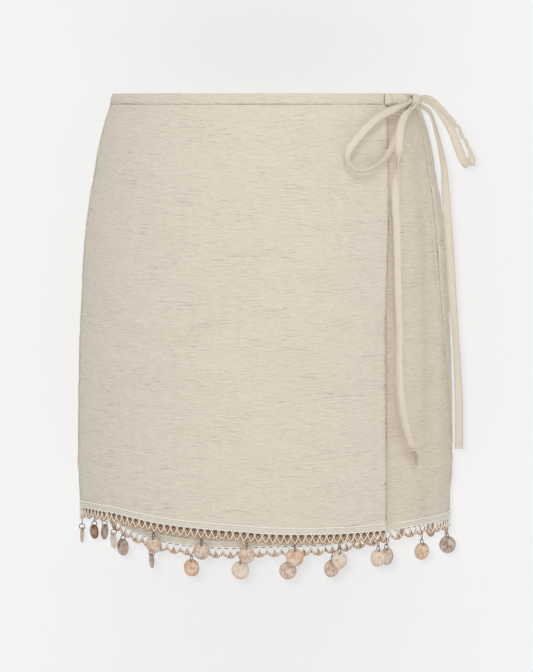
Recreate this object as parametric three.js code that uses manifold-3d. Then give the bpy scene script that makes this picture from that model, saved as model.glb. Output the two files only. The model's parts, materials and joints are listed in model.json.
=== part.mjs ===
// Wrap skirt, filled out as it is worn: three crinkled cotton panels, a narrow waistband with tie ends
// in a bow, and a scalloped lace hem hung with shell discs on rings.
// Millimetres, +Z up. The front faces -Y and the origin is the centre of the waistband's ring.
// Angles are in degrees round the body from the front centre, towards +X. Drops are measured down
// from the waistband's top edge.

import * as THREE from 'three';
import { mergeVertices } from 'three/addons/utils/BufferGeometryUtils.js';
import Module from 'manifold-3d';

const wasm = await Module();
wasm.setup();

// Cloth sizes
const BAND_HEIGHT = 9.5;
const TOP_Z = BAND_HEIGHT / 2;
const SEAM_GAP = 0.3;
const CLOTH = 1.4;
const BAND_OUT = 0.3;
const BAND_IN = -1.9;
const TAPE_OUT = 0.3;
const TAPE_IN = -1.7;
const TAPE_HEIGHT = 5.4;
const LACE_OUT = -0.1;
const LACE_IN = -1.3;
const TIE_THICKNESS = 1.4;

// Grids: columns round each piece and rows down a panel
const PANEL_ROWS = 10;
const TAPE_EXTRA_COLUMNS = 2;
const BAND_COLUMNS = 66;
const RIBBON_STEPS = 2;
const RULER_STEPS = 600;
const WELD = 1e-3;
const FINE_WELD = 1e-4;

// Seams and free edges, as angles
const LEFT_SEAM = -80;
const UNDER_EDGE = -57;
const BAND_END = 53;

// Length of cloth per radian at a side seam
const SIDE_RADIUS = 110;

// Drop of the hem at the right side seam and at the overlap's free edge
const EDGE_HEM = 392.4;

// Body: half width and half depth of the skirt's ring at each drop
const BODY = [
  { drop: 0, halfWidth: 142.5, halfDepth: 102 },
  { drop: 12, halfWidth: 145.3, halfDepth: 103.5 },
  { drop: 25, halfWidth: 149.6, halfDepth: 106.5 },
  { drop: 53, halfWidth: 156.6, halfDepth: 110 },
  { drop: 77, halfWidth: 160.5, halfDepth: 112 },
  { drop: 100, halfWidth: 164.9, halfDepth: 114 },
  { drop: 145, halfWidth: 170.1, halfDepth: 116.5 },
  { drop: 194, halfWidth: 173, halfDepth: 118 },
  { drop: 246, halfWidth: 175.4, halfDepth: 119 },
  { drop: 345, halfWidth: 176.9, halfDepth: 119.5 },
  { drop: 390, halfWidth: 174.8, halfDepth: 119 },
  { drop: 440, halfWidth: 174.5, halfDepth: 119 },
];

// The overlap's free edge, as the x that it hangs at
const FREE_EDGE = [
  { drop: 0, x: 111 },
  { drop: 42, x: 112 },
  { drop: 97, x: 112.5 },
  { drop: 214, x: 110 },
  { drop: 315, x: 110.7 },
  { drop: 440, x: 111.2 },
];

// The right side seam
const RIGHT_SEAM = [
  { drop: 0, angle: 74 },
  { drop: 135, angle: 71 },
  { drop: 220, angle: 73 },
  { drop: 283, angle: 78 },
  { drop: 320, angle: 82 },
  { drop: 440, angle: 84 },
];

// How far the tucked layer lies inside the outer one
const LAYER_GAP = [
  { drop: 0, gap: 2.6 },
  { drop: 60, gap: 2.6 },
  { drop: 380, gap: 5 },
  { drop: 440, gap: 5 },
];

// Angles past the overlap's free edge where the tucked layer comes out to the outer one
const TUCK = { from: 2, to: 14 };

// Soft folds, raised above zero and sunk below it
const FOLDS = [
  { topAngle: 68, lowAngle: 60, spread: 12, lift: -2.6, from: 12, to: 360 },
  { topAngle: 76, lowAngle: 84, spread: 8, lift: 0.9, from: 60, to: 420 },
  { topAngle: 112, lowAngle: 118, spread: 15, lift: 1.3, from: 90, to: 470 },
  { topAngle: 146, lowAngle: 149, spread: 14, lift: -1.4, from: 150, to: 480 },
  { topAngle: 176, lowAngle: 173, spread: 17, lift: 1.1, from: 40, to: 460 },
  { topAngle: 208, lowAngle: 214, spread: 13, lift: -1.2, from: 120, to: 480 },
  { topAngle: 244, lowAngle: 240, spread: 15, lift: 1.2, from: 70, to: 400 },
];

// Hem drops, where the cloth ends and the tape begins
const OVERLAP_HEM = [
  { angle: -82, drop: 382.5 },
  { angle: -64, drop: 380 },
  { angle: -55, drop: 379.8 },
  { angle: -42, drop: 382.7 },
  { angle: -34, drop: 385.2 },
  { angle: -24, drop: 387.2 },
  { angle: -8, drop: 389.8 },
  { angle: 2, drop: 392 },
  { angle: 12, drop: 392.8 },
  { angle: 23, drop: 393.2 },
  { angle: 42, drop: 392.4 },
];
const UNDER_HEM = [
  { angle: -57, drop: 385 },
  { angle: -46, drop: 395 },
  { angle: -41, drop: 398.4 },
  { angle: -32, drop: 402.7 },
  { angle: -20, drop: 405.1 },
  { angle: -12, drop: 405.7 },
  { angle: 2, drop: 404 },
  { angle: 16, drop: 403.4 },
  { angle: 25, drop: 401 },
  { angle: 35, drop: 397.5 },
  { angle: 44, drop: 394 },
  { angle: 53, drop: 392 },
  { angle: 86, drop: 392.4 },
];
const BACK_HEM = [
  { angle: 80, drop: 392.4 },
  { angle: 130, drop: 393 },
  { angle: 205, drop: 393 },
  { angle: 250, drop: 389.5 },
  { angle: 270, drop: 386.3 },
  { angle: 282, drop: 382.5 },
];

// Lace: a header thread, two open gaps in each scallop and a heavier scalloped edge
const LACE = {
  pitch: 13.4,
  gapShares: [0.25, 0.75],
  top: TAPE_HEIGHT + SEAM_GAP,
  gapTop: 7.1,
  gapBottom: 11.9,
  gapTopHalf: 2.5,
  gapBottomHalf: 0.8,
  gapSlant: 0.15,
  cusp: 12.6,
  shoulder: 14.2,
  shoulderIn: 1.6,
  bottom: 15.3,
  bottomIn: 4.4,
};

// Loop of thread that holds a ring, measured from the middle of its bottom bar
const LOOP = {
  halfWidth: 2.2,
  taper: 0.1,
  halfGap: 1.2,
  gapHeight: 2.8,
  halfBar: 0.6,
  fromCusp: 2.6,
};

// Ring and disc, measured down from the bar that the ring hangs on
const RING = { radius: 3, wire: 0.5, centre: -1.3, turns: 8, sides: 4 };
const DISC = { top: -2.4, thickness: 2, sides: 12 };
const DISC_PIVOT = -4.3;

// Drops: where each hangs, how far its disc's centre is below the hem, the disc's size, the way
// that it faces and how far it leans
const OVERLAP_DROPS = [
  { angle: -66, hang: 26.2, width: 15, height: 13.6, facing: -56, lean: 0, tone: 'brown' },
  { angle: -53.3, hang: 31.1, width: 15, height: 15.3, facing: -67, lean: 7, tone: 'cream' },
  { angle: -34.9, hang: 26.3, width: 15.2, height: 15.3, facing: -20, lean: -3, tone: 'pink' },
  { angle: -19.3, hang: 26.2, width: 15.8, height: 15.3, facing: -14, lean: 0, tone: 'pink' },
  { angle: -5.4, hang: 26.2, width: 15.2, height: 15.6, facing: -2, lean: 3, tone: 'grey' },
  { angle: 8.9, hang: 26.5, width: 16.4, height: 16, facing: 6, lean: 0, tone: 'orange' },
  { angle: 22.8, hang: 29.7, width: 14.8, height: 16.2, facing: 24, lean: -4, tone: 'orange' },
  { angle: 36.5, hang: 30.6, width: 15.6, height: 16.3, facing: 26, lean: 2, tone: 'cream' },
];
const UNDER_DROPS = [
  { angle: -50.5, hang: 26.2, width: 15.2, height: 15.8, facing: -44, lean: 0, tone: 'grey' },
  { angle: -37.5, hang: 26.7, width: 15, height: 14, facing: -72, lean: 5, tone: 'grey' },
  { angle: -22.2, hang: 26.2, width: 15, height: 16.2, facing: -22, lean: 2, tone: 'orange' },
  { angle: -8.1, hang: 26.3, width: 16.4, height: 16.2, facing: -8, lean: 0, tone: 'cream' },
  { angle: 7, hang: 27.9, width: 16, height: 16, facing: 7, lean: 0, tone: 'orange' },
  { angle: 21.1, hang: 28.8, width: 15.2, height: 16.2, facing: 23, lean: 5, tone: 'brown' },
  { angle: 40.9, hang: 28.2, width: 15.4, height: 16, facing: 34, lean: -3, tone: 'orange' },
  { angle: 56.5, hang: 29.9, width: 15.4, height: 15.8, facing: 27, lean: 0, tone: 'orange' },
  { angle: 81.5, hang: 31.5, width: 16.2, height: 16.4, facing: 14, lean: 0, tone: 'grey' },
];
const BACK_DROPS = [
  { angle: 97, hang: 28, width: 15.2, height: 15.4, facing: 90, lean: 0, tone: 'cream' },
  { angle: 114, hang: 27, width: 15.4, height: 15.6, facing: 118, lean: 3, tone: 'pink' },
  { angle: 130, hang: 29, width: 15, height: 15.2, facing: 126, lean: -2, tone: 'orange' },
  { angle: 144, hang: 26.8, width: 15.8, height: 15.6, facing: 150, lean: 0, tone: 'cream' },
  { angle: 158, hang: 28, width: 15.2, height: 16, facing: 155, lean: 4, tone: 'grey' },
  { angle: 172, hang: 27.4, width: 15.6, height: 15.4, facing: 174, lean: 0, tone: 'orange' },
  { angle: 186, hang: 30, width: 15, height: 15.6, facing: 190, lean: -4, tone: 'pink' },
  { angle: 200, hang: 26.8, width: 15.4, height: 15.2, facing: 198, lean: 0, tone: 'cream' },
  { angle: 215, hang: 28.2, width: 16, height: 16, facing: 220, lean: 2, tone: 'orange' },
  { angle: 243, hang: 33, width: 15.2, height: 15, facing: 243, lean: 0, tone: 'brown' },
  { angle: 268, hang: 31.6, width: 15, height: 15.2, facing: 264, lean: 3, tone: 'cream' },
];

// Keeper: a short strip over the waistband's end, beside the overlap's free edge
const KEEPER = { from: 50.8, to: 54.8, top: -0.4, bottom: 10.4, inner: 0.75, outer: 1.8, columns: 2 };

// Tie end from the waistband to the knot: drops of its edges where it leaves the band and at the knot
const LEAD = {
  from: BAND_END + 0.15,
  to: 66.9,
  out: 0.3,
  thickness: 1.5,
  rise: 1.9,
  riseBy: 0.7,
  narrowFrom: 0.2,
  startTop: 0.4,
  startBottom: 9.2,
  endTop: 3,
  endBottom: 8,
  columns: 5,
};

// Knot, and the ribbons' routes with the direction that their width takes at each point
const KNOT = {
  x: 139,
  y: -40,
  z: -1.5,
  halfWidth: 4.8,
  halfDepth: 4.5,
  halfHeight: 5.4,
  sides: 10,
  bands: 7,
};
const LEFT_LOOP = [
  { x: 134.7, y: -43.3, z: -0.9, width: 3.2, across: [0, 0, 1] },
  { x: 131.5, y: -49.5, z: -4, width: 3.6, across: [-0.1, 0, 1] },
  { x: 121, y: -68, z: -8, width: 7, across: [-0.3, 0.1, 1] },
  { x: 106, y: -83, z: -15, width: 8.4, across: [-0.5, 0, 0.85] },
  { x: 92, y: -95, z: -26, width: 8.5, across: [-0.6, -0.1, 0.8] },
  { x: 82, y: -102, z: -37, width: 8.5, across: [-0.7, -0.2, 0.65] },
  { x: 75, y: -105.5, z: -46, width: 8.5, across: [-0.6, -0.65, 0.5] },
  { x: 73, y: -106, z: -54, width: 8.5, across: [-0.1, -1, 0.2] },
  { x: 76.5, y: -105, z: -61, width: 8.5, across: [0.3, -0.95, 0] },
  { x: 83.5, y: -102.5, z: -65, width: 8.5, across: [0.4, -0.9, 0.1] },
  { x: 93, y: -98.5, z: -64.5, width: 8.5, across: [0.5, -0.85, 0.15] },
  { x: 103, y: -92, z: -60, width: 8.5, across: [0.5, -0.85, 0.1] },
  { x: 111, y: -85.5, z: -52, width: 8.5, across: [0.6, -0.8, 0.1] },
  { x: 116, y: -79, z: -43, width: 8, across: [0.8, -0.5, -0.1] },
  { x: 120, y: -72.5, z: -33, width: 7.5, across: [0.85, 0.1, -0.3] },
  { x: 124.5, y: -64, z: -22, width: 5.5, across: [0.7, 0.65, -0.4] },
  { x: 130.5, y: -53, z: -12.5, width: 3.6, across: [0.6, 0.7, -0.5] },
  { x: 134.5, y: -42.1, z: -5.3, width: 2.4, across: [0.6, 0.7, -0.5] },
];
const RIGHT_LOOP = [
  { x: 143.5, y: -42.4, z: -1.8, width: 3.2, across: [0.1, -0.3, 1] },
  { x: 145.6, y: -43.5, z: -2, width: 3.6, across: [0.1, -0.3, 1] },
  { x: 151, y: -44, z: -3.5, width: 5, across: [0.3, -0.6, 0.8] },
  { x: 157, y: -45, z: -8, width: 7, across: [0.5, -0.4, 0.75] },
  { x: 162, y: -46, z: -14, width: 8, across: [0.75, -0.2, 0.6] },
  { x: 167, y: -46.5, z: -21, width: 8.5, across: [0.85, 0, 0.5] },
  { x: 172, y: -46.5, z: -30, width: 8.5, across: [0.9, 0, 0.4] },
  { x: 175.5, y: -46, z: -39, width: 8.5, across: [0.92, 0, 0.38] },
  { x: 179.5, y: -45, z: -49, width: 8.5, across: [0.9, 0, 0.42] },
  { x: 184, y: -42, z: -58, width: 8.5, across: [0.9, 0, 0.45] },
  { x: 188.5, y: -37, z: -61.5, width: 8.5, across: [0.9, 0.1, 0.42] },
  { x: 191.5, y: -32.5, z: -57, width: 8.5, across: [0.85, 0.5, 0.1] },
  { x: 191, y: -29, z: -50, width: 8.5, across: [0.5, 0.85, -0.1] },
  { x: 188, y: -27, z: -43.5, width: 8.5, across: [0.4, 0.9, -0.1] },
  { x: 184, y: -26, z: -35.5, width: 8.5, across: [0.35, 0.9, 0] },
  { x: 179, y: -26, z: -27, width: 8.5, across: [0.3, 0.95, 0.1] },
  { x: 174, y: -26.5, z: -20, width: 8.5, across: [0.3, 0.95, 0.1] },
  { x: 167.5, y: -27.5, z: -13, width: 8, across: [0.3, 0.9, 0.2] },
  { x: 160.5, y: -29, z: -6, width: 7, across: [0.3, 0.8, 0.4] },
  { x: 153.5, y: -31.5, z: -0.5, width: 5.5, across: [0.2, 0.6, 0.7] },
  { x: 146, y: -35, z: 1.5, width: 3.6, across: [0.1, 0.3, 0.9] },
  { x: 143, y: -37.2, z: 0.4, width: 3, across: [0.1, 0.3, 0.9] },
];
const LEFT_TAIL = [
  { x: 138.5, y: -44.1, z: -4.6, width: 2.8, across: [0.95, -0.1, 0.3] },
  { x: 137, y: -50.5, z: -8, width: 4, across: [0.95, -0.1, 0.5] },
  { x: 129, y: -69.5, z: -13, width: 7.5, across: [0.9, -0.1, 0.2] },
  { x: 123.5, y: -80, z: -25, width: 8.5, across: [0.95, -0.2, 0.2] },
  { x: 121.5, y: -86.5, z: -43, width: 8.5, across: [0.97, -0.2, 0] },
  { x: 120, y: -86.5, z: -57, width: 8.5, across: [0.45, -0.88, 0] },
  { x: 119, y: -84, z: -75, width: 8.5, across: [0.85, -0.5, 0] },
  { x: 119, y: -83.5, z: -97, width: 8.5, across: [1, 0.15, 0] },
  { x: 120, y: -85, z: -120, width: 8.5, across: [0.95, 0.35, 0] },
  { x: 121, y: -88, z: -165, width: 8.5, across: [0.92, 0.4, 0] },
  { x: 122, y: -90, z: -210, width: 8.5, across: [0.9, 0.4, 0] },
  { x: 122, y: -92, z: -244, width: 8.5, across: [0.6, 0.8, 0] },
  { x: 123.5, y: -91.5, z: -269, width: 8.5, across: [0.55, 0.8, 0.1] },
  { x: 128, y: -89, z: -296, width: 8.5, across: [0.6, 0.75, 0.1] },
  { x: 133, y: -86, z: -315, width: 8.5, across: [0.6, 0.75, 0.15] },
  { x: 138, y: -82.5, z: -329, width: 8.5, across: [0.65, 0.7, 0.2] },
];
const RIGHT_TAIL = [
  { x: 142.7, y: -38.6, z: -5.2, width: 2.8, across: [0.5, 0.3, 0.6] },
  { x: 144.5, y: -38, z: -7, width: 3.6, across: [0.5, 0.3, 0.6] },
  { x: 148.5, y: -36.5, z: -9.5, width: 4.5, across: [0.5, 0.6, 0.4] },
  { x: 152, y: -35, z: -13, width: 6.5, across: [0.45, 0.8, 0.2] },
  { x: 155, y: -34, z: -20, width: 8, across: [0.35, 0.9, 0.1] },
  { x: 158.3, y: -33, z: -31, width: 8.5, across: [0.45, 0.88, 0.1] },
  { x: 161, y: -32.5, z: -42, width: 8.5, across: [0.5, 0.85, 0.1] },
  { x: 163.5, y: -32, z: -53, width: 8.5, across: [0.65, 0.75, 0.1] },
  { x: 166, y: -32, z: -68, width: 8.5, across: [0.8, 0.6, 0.1] },
  { x: 168, y: -32, z: -94, width: 8.5, across: [0.98, 0.2, 0] },
  { x: 171.5, y: -32, z: -138, width: 8.5, across: [0.98, 0.15, 0] },
  { x: 174.5, y: -32, z: -183, width: 8.5, across: [0.95, 0.3, 0] },
  { x: 177, y: -32, z: -215, width: 8.5, across: [0.8, 0.6, 0] },
  { x: 179.3, y: -32, z: -250, width: 8.5, across: [0.88, 0.48, 0] },
  { x: 181, y: -32, z: -286, width: 8.5, across: [1, 0.1, 0] },
  { x: 181.3, y: -32, z: -326, width: 8.5, across: [1, 0, 0] },
];

// Materials
const CLOTH_COLOUR = 0xdcd3c4;
const TIE_COLOUR = 0xe2d8c6;
const TAPE_COLOUR = 0xe4dccc;
const LACE_COLOUR = 0xbd9a76;
const SHELL_TONES = {
  cream: 0xe1cdb4,
  orange: 0xd6ae8a,
  pink: 0xd2bcab,
  grey: 0xb5a294,
  brown: 0x7c5038,
};

function material(colour, roughness, metalness = 0) {
  return new THREE.MeshStandardMaterial({ color: colour, roughness, metalness });
}

// A column's value between the rows of a table
function lookUp(table, key, column, at) {
  let low = table[0];
  let high = table[table.length - 1];
  if (at <= low[key]) return low[column];
  if (at >= high[key]) return high[column];
  for (let row = 1; row < table.length; row += 1) {
    if (at <= table[row][key]) {
      low = table[row - 1];
      high = table[row];
      break;
    }
  }
  const share = (at - low[key]) / (high[key] - low[key]);
  return THREE.MathUtils.lerp(low[column], high[column], share);
}

// How far the folds raise the cloth, each fading to nothing at its sides and ends
function foldLift(angle, drop) {
  let lift = 0;
  for (const fold of FOLDS) {
    const along = (drop - fold.from) / (fold.to - fold.from);
    const middle = THREE.MathUtils.lerp(fold.topAngle, fold.lowAngle, along);
    const across = (angle - middle) / fold.spread;
    if (along > 0 && along < 1 && Math.abs(across) < 1) {
      lift += fold.lift * Math.cos((across * Math.PI) / 2) ** 2 * Math.sin(along * Math.PI) ** 0.7;
    }
  }
  return lift;
}

// A place on the outer cloth, moved out along its normal
function skin(angle, drop, out) {
  const halfWidth = lookUp(BODY, 'drop', 'halfWidth', drop);
  const halfDepth = lookUp(BODY, 'drop', 'halfDepth', drop);
  const turn = THREE.MathUtils.degToRad(angle);
  const normal = new THREE.Vector2(Math.sin(turn) * halfDepth, -Math.cos(turn) * halfWidth);
  normal.normalize();
  const lift = out + foldLift(angle < -100 ? angle + 360 : angle, drop);
  return new THREE.Vector3(
    halfWidth * Math.sin(turn) + normal.x * lift,
    -halfDepth * Math.cos(turn) + normal.y * lift,
    TOP_Z - drop,
  );
}

function freeEdgeAngle(drop) {
  const share = lookUp(FREE_EDGE, 'drop', 'x', drop) / lookUp(BODY, 'drop', 'halfWidth', drop);
  return THREE.MathUtils.radToDeg(Math.asin(share));
}

// A place on the tucked layer, which slips inside the outer one past the overlap's free edge
function underSkin(angle, drop, out) {
  const edge = freeEdgeAngle(drop);
  const tucked = 1 - THREE.MathUtils.smoothstep(angle, edge + TUCK.from, edge + TUCK.to);
  return skin(angle, drop, out - tucked * lookUp(LAYER_GAP, 'drop', 'gap', drop));
}

// Half the gap at a side seam, as an angle
const SEAM_ANGLE = THREE.MathUtils.radToDeg(SEAM_GAP / 2 / SIDE_RADIUS);
const rightSeam = (drop) => lookUp(RIGHT_SEAM, 'drop', 'angle', drop);
const overlapHem = (angle) => lookUp(OVERLAP_HEM, 'angle', 'drop', angle);
const underHem = (angle) => lookUp(UNDER_HEM, 'angle', 'drop', angle);
const backHem = (angle) => lookUp(BACK_HEM, 'angle', 'drop', angle);

// Each panel: its side edges, its hem and the layer that it lies on
const OVERLAP = {
  left: () => LEFT_SEAM + SEAM_ANGLE,
  right: freeEdgeAngle,
  hem: overlapHem,
  place: skin,
  columns: 18,
};
const UNDER = {
  left: () => UNDER_EDGE,
  right: (drop) => rightSeam(drop) - SEAM_ANGLE,
  hem: underHem,
  place: underSkin,
  columns: 22,
};
const BACK = {
  left: (drop) => rightSeam(drop) + SEAM_ANGLE,
  right: () => LEFT_SEAM + 360 - SEAM_ANGLE,
  hem: backHem,
  place: skin,
  columns: 28,
};

// Collects corners and faces of one closed body
class Body {
  constructor() {
    this.corners = [];
    this.faces = [];
  }

  corner(point) {
    this.corners.push(point.x, point.y, point.z);
    return this.corners.length / 3 - 1;
  }

  quad(a, b, c, d) {
    this.faces.push(a, b, c, a, c, d);
  }

  geometry() {
    const made = new THREE.BufferGeometry();
    made.setAttribute('position', new THREE.Float32BufferAttribute(this.corners, 3));
    made.setIndex(this.faces);
    return mergeVertices(made, WELD);
  }
}

// A curved wall with its outer and inner faces on a grid
function wall({ columns, rows, point, outer, inner }) {
  const body = new Body();
  const grid = [outer, inner].map((out) =>
    Array.from({ length: columns + 1 }, (_, i) =>
      Array.from({ length: rows + 1 }, (_, j) => body.corner(point(i / columns, j / rows, out))),
    ),
  );
  const [front, back] = grid;
  for (let i = 0; i < columns; i += 1) {
    for (let j = 0; j < rows; j += 1) {
      body.quad(front[i][j], front[i][j + 1], front[i + 1][j + 1], front[i + 1][j]);
      body.quad(back[i][j], back[i + 1][j], back[i + 1][j + 1], back[i][j + 1]);
    }
    body.quad(front[i][0], front[i + 1][0], back[i + 1][0], back[i][0]);
    body.quad(front[i][rows], back[i][rows], back[i + 1][rows], front[i + 1][rows]);
  }
  for (let j = 0; j < rows; j += 1) {
    body.quad(front[0][j], back[0][j], back[0][j + 1], front[0][j + 1]);
    body.quad(front[columns][j], front[columns][j + 1], back[columns][j + 1], back[columns][j]);
  }
  return body.geometry();
}

function panelWall(panel) {
  const top = BAND_HEIGHT + SEAM_GAP;
  return wall({
    columns: panel.columns,
    rows: PANEL_ROWS,
    outer: 0,
    inner: -CLOTH,
    point: (across, down, out) => {
      const level = THREE.MathUtils.lerp(top, EDGE_HEM, down);
      const angle = THREE.MathUtils.lerp(panel.left(level), panel.right(level), across);
      return panel.place(angle, THREE.MathUtils.lerp(top, panel.hem(angle), down), out);
    },
  });
}

function hemAngles(panel) {
  return [panel.left(EDGE_HEM), panel.right(EDGE_HEM)];
}

function tapeWall(panel) {
  const [from, to] = hemAngles(panel);
  return wall({
    columns: panel.columns + TAPE_EXTRA_COLUMNS,
    rows: 1,
    outer: TAPE_OUT,
    inner: TAPE_IN,
    point: (across, down, out) => {
      const angle = THREE.MathUtils.lerp(from, to, across);
      return panel.place(angle, panel.hem(angle) + SEAM_GAP + down * (TAPE_HEIGHT - SEAM_GAP), out);
    },
  });
}

// Waistband: one strip from the overlap's edge round the back and in under the overlap
function waistbandWall() {
  const spread = BAND_END - (UNDER_EDGE - 360);
  return wall({
    columns: BAND_COLUMNS,
    rows: 1,
    outer: BAND_OUT,
    inner: BAND_IN,
    point: (across, down, out) => {
      const angle = UNDER_EDGE - 360 + across * spread;
      const tucked = angle + 360 < 90;
      const place = tucked ? underSkin : skin;
      return place(tucked ? angle + 360 : angle, down * BAND_HEIGHT, out);
    },
  });
}

function keeperWall() {
  return wall({
    columns: KEEPER.columns,
    rows: 1,
    outer: KEEPER.outer,
    inner: KEEPER.inner,
    point: (across, down, out) =>
      skin(
        THREE.MathUtils.lerp(KEEPER.from, KEEPER.to, across),
        THREE.MathUtils.lerp(KEEPER.top, KEEPER.bottom, down),
        out,
      ),
  });
}

function tieLeadWall() {
  return wall({
    columns: LEAD.columns,
    rows: 1,
    outer: LEAD.out,
    inner: LEAD.out - LEAD.thickness,
    point: (across, down, out) => {
      const rise = LEAD.rise * THREE.MathUtils.smoothstep(across, 0, LEAD.riseBy);
      const narrow = THREE.MathUtils.smoothstep(across, LEAD.narrowFrom, 1);
      const top = THREE.MathUtils.lerp(LEAD.startTop, LEAD.endTop, narrow);
      const bottom = THREE.MathUtils.lerp(LEAD.startBottom, LEAD.endBottom, narrow);
      const angle = THREE.MathUtils.lerp(LEAD.from, LEAD.to, across);
      return skin(angle, THREE.MathUtils.lerp(top, bottom, down), out + rise);
    },
  });
}

// A ribbon along its route
function ribbon(route) {
  const path = new THREE.CatmullRomCurve3(
    route.map((stop) => new THREE.Vector3(stop.x, stop.y, stop.z)),
    false,
    'centripetal',
  );
  const steps = (route.length - 1) * RIBBON_STEPS;
  const body = new Body();
  const rings = [];
  for (let step = 0; step <= steps; step += 1) {
    const at = step / RIBBON_STEPS;
    const low = Math.min(Math.floor(at), route.length - 2);
    const share = at - low;
    const middle = path.getPoint(step / steps);
    const along = path.getTangent(step / steps);
    const across = new THREE.Vector3(...route[low].across)
      .lerp(new THREE.Vector3(...route[low + 1].across), share);
    across.addScaledVector(along, -across.dot(along)).normalize();
    across.multiplyScalar(THREE.MathUtils.lerp(route[low].width, route[low + 1].width, share) / 2);
    const through = along.clone().cross(across).setLength(TIE_THICKNESS / 2);
    rings.push(
      [[1, 1], [-1, 1], [-1, -1], [1, -1]].map(([side, face]) =>
        body.corner(middle.clone().addScaledVector(across, side).addScaledVector(through, face)),
      ),
    );
  }
  for (let step = 0; step < steps; step += 1) {
    for (let side = 0; side < 4; side += 1) {
      const next = (side + 1) % 4;
      body.quad(rings[step][side], rings[step][next], rings[step + 1][next], rings[step + 1][side]);
    }
  }
  body.quad(...[...rings[0]].reverse());
  body.quad(...rings[steps]);
  return body.geometry();
}

function knotBall() {
  const ball = new THREE.SphereGeometry(1, KNOT.sides, KNOT.bands);
  ball.rotateX(Math.PI / 2);
  ball.scale(KNOT.halfWidth, KNOT.halfDepth, KNOT.halfHeight);
  ball.translate(KNOT.x, KNOT.y, KNOT.z);
  ball.deleteAttribute('normal');
  ball.deleteAttribute('uv');
  return mergeVertices(ball, WELD);
}

// Lengths along a hem, to space its scallops evenly
function hemRuler(panel) {
  const [from, to] = hemAngles(panel);
  const marks = [{ angle: from, length: 0 }];
  let last = panel.place(from, panel.hem(from), 0);
  for (let step = 1; step <= RULER_STEPS; step += 1) {
    const angle = THREE.MathUtils.lerp(from, to, step / RULER_STEPS);
    const point = panel.place(angle, panel.hem(angle), 0);
    marks.push({ angle, length: marks[step - 1].length + point.distanceTo(last) });
    last = point;
  }
  const { length } = marks[RULER_STEPS];
  const scallops = Math.round(length / LACE.pitch);
  return { marks, scallops, pitch: length / scallops };
}

// Each drop's scallop and its place in it, kept clear of the cusps
function hangDrops(ruler, drops) {
  return drops.map((drop) => {
    const length = lookUp(ruler.marks, 'angle', 'length', drop.angle);
    const scallop = Math.min(Math.floor(length / ruler.pitch), ruler.scallops - 1);
    const x = THREE.MathUtils.clamp(
      length - scallop * ruler.pitch, LOOP.fromCusp, ruler.pitch - LOOP.fromCusp);
    const angle = lookUp(ruler.marks, 'length', 'angle', scallop * ruler.pitch + x);
    return { ...drop, scallop, x, angle, bar: drop.hang - drop.height / 2 + DISC.top };
  });
}

// The scalloped edge of one cell, from its right cusp to its left one, with a thread loop where it
// holds a ring
function cellEdge(pitch, drop) {
  const edge = [
    { x: 0, y: LACE.cusp },
    { x: LACE.shoulderIn, y: LACE.shoulder },
    { x: LACE.bottomIn, y: LACE.bottom },
    { x: pitch - LACE.bottomIn, y: LACE.bottom },
    { x: pitch - LACE.shoulderIn, y: LACE.shoulder },
    { x: pitch, y: LACE.cusp },
  ];
  if (drop) {
    const low = drop.bar + LOOP.halfBar;
    const sides = [drop.x - LOOP.halfWidth, drop.x + LOOP.halfWidth];
    const roots = sides.map((x) => ({ x, y: lookUp(edge, 'x', 'y', x) }));
    const kept = edge.filter((point) => point.x < sides[0] || point.x > sides[1]);
    kept.push(
      ...roots,
      { x: sides[0] + LOOP.taper, y: low },
      { x: sides[1] - LOOP.taper, y: low },
    );
    return kept.sort((a, b) => b.x - a.x);
  }
  return edge.reverse();
}

function cellGaps(pitch, drop) {
  const gaps = LACE.gapShares.map((share) => {
    const middle = share * pitch;
    return [
      new THREE.Vector2(middle - LACE.gapTopHalf, LACE.gapTop),
      new THREE.Vector2(middle - LACE.gapBottomHalf, LACE.gapBottom),
      new THREE.Vector2(middle + LACE.gapBottomHalf, LACE.gapBottom - LACE.gapSlant),
      new THREE.Vector2(middle + LACE.gapTopHalf, LACE.gapTop + LACE.gapSlant),
    ];
  });
  if (drop) {
    const low = drop.bar - LOOP.halfBar;
    const [left, right] = [drop.x - LOOP.halfGap, drop.x + LOOP.halfGap];
    gaps.push([
      new THREE.Vector2(left, low - LOOP.gapHeight),
      new THREE.Vector2(left, low),
      new THREE.Vector2(right, low),
      new THREE.Vector2(right, low - LOOP.gapHeight + LACE.gapSlant),
    ]);
  }
  return gaps;
}

// Lace: one closed wall of scallop cells, its gaps cut through
function laceWall(panel, ruler, drops) {
  const body = new Body();
  for (let cell = 0; cell < ruler.scallops; cell += 1) {
    const drop = drops.find((one) => one.scallop === cell);
    const outline = [
      new THREE.Vector2(0, LACE.top),
      new THREE.Vector2(ruler.pitch, LACE.top),
      ...cellEdge(ruler.pitch, drop).map((point) => new THREE.Vector2(point.x, point.y)),
    ];
    const gaps = cellGaps(ruler.pitch, drop);
    const flat = [outline, ...gaps].flat();
    const [front, back] = [LACE_OUT, LACE_IN].map((out) =>
      flat.map((point) => {
        const angle = lookUp(ruler.marks, 'length', 'angle', cell * ruler.pitch + point.x);
        return body.corner(panel.place(angle, panel.hem(angle) + point.y, out));
      }),
    );
    for (const triangle of THREE.ShapeUtils.triangulateShape(outline, gaps)) {
      const [a, b, c] = triangle;
      const spin = flat[b].clone().sub(flat[a]).cross(flat[c].clone().sub(flat[a]));
      const [p, q, r] = spin < 0 ? [a, b, c] : [a, c, b];
      body.faces.push(front[p], front[q], front[r], back[p], back[r], back[q]);
    }
    const rim = (a, b) => body.quad(front[a], front[b], back[b], back[a]);
    const last = outline.length - 1;
    for (let point = 0; point < last; point += 1) {
      const cut = point === 1 && cell < ruler.scallops - 1;
      if (!cut) rim(point, point + 1);
    }
    if (cell === 0) rim(last, 0);
    let start = outline.length;
    for (const gap of gaps) {
      gap.forEach((_, point) => rim(start + point, start + ((point + 1) % gap.length)));
      start += gap.length;
    }
  }
  return body.geometry();
}

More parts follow.
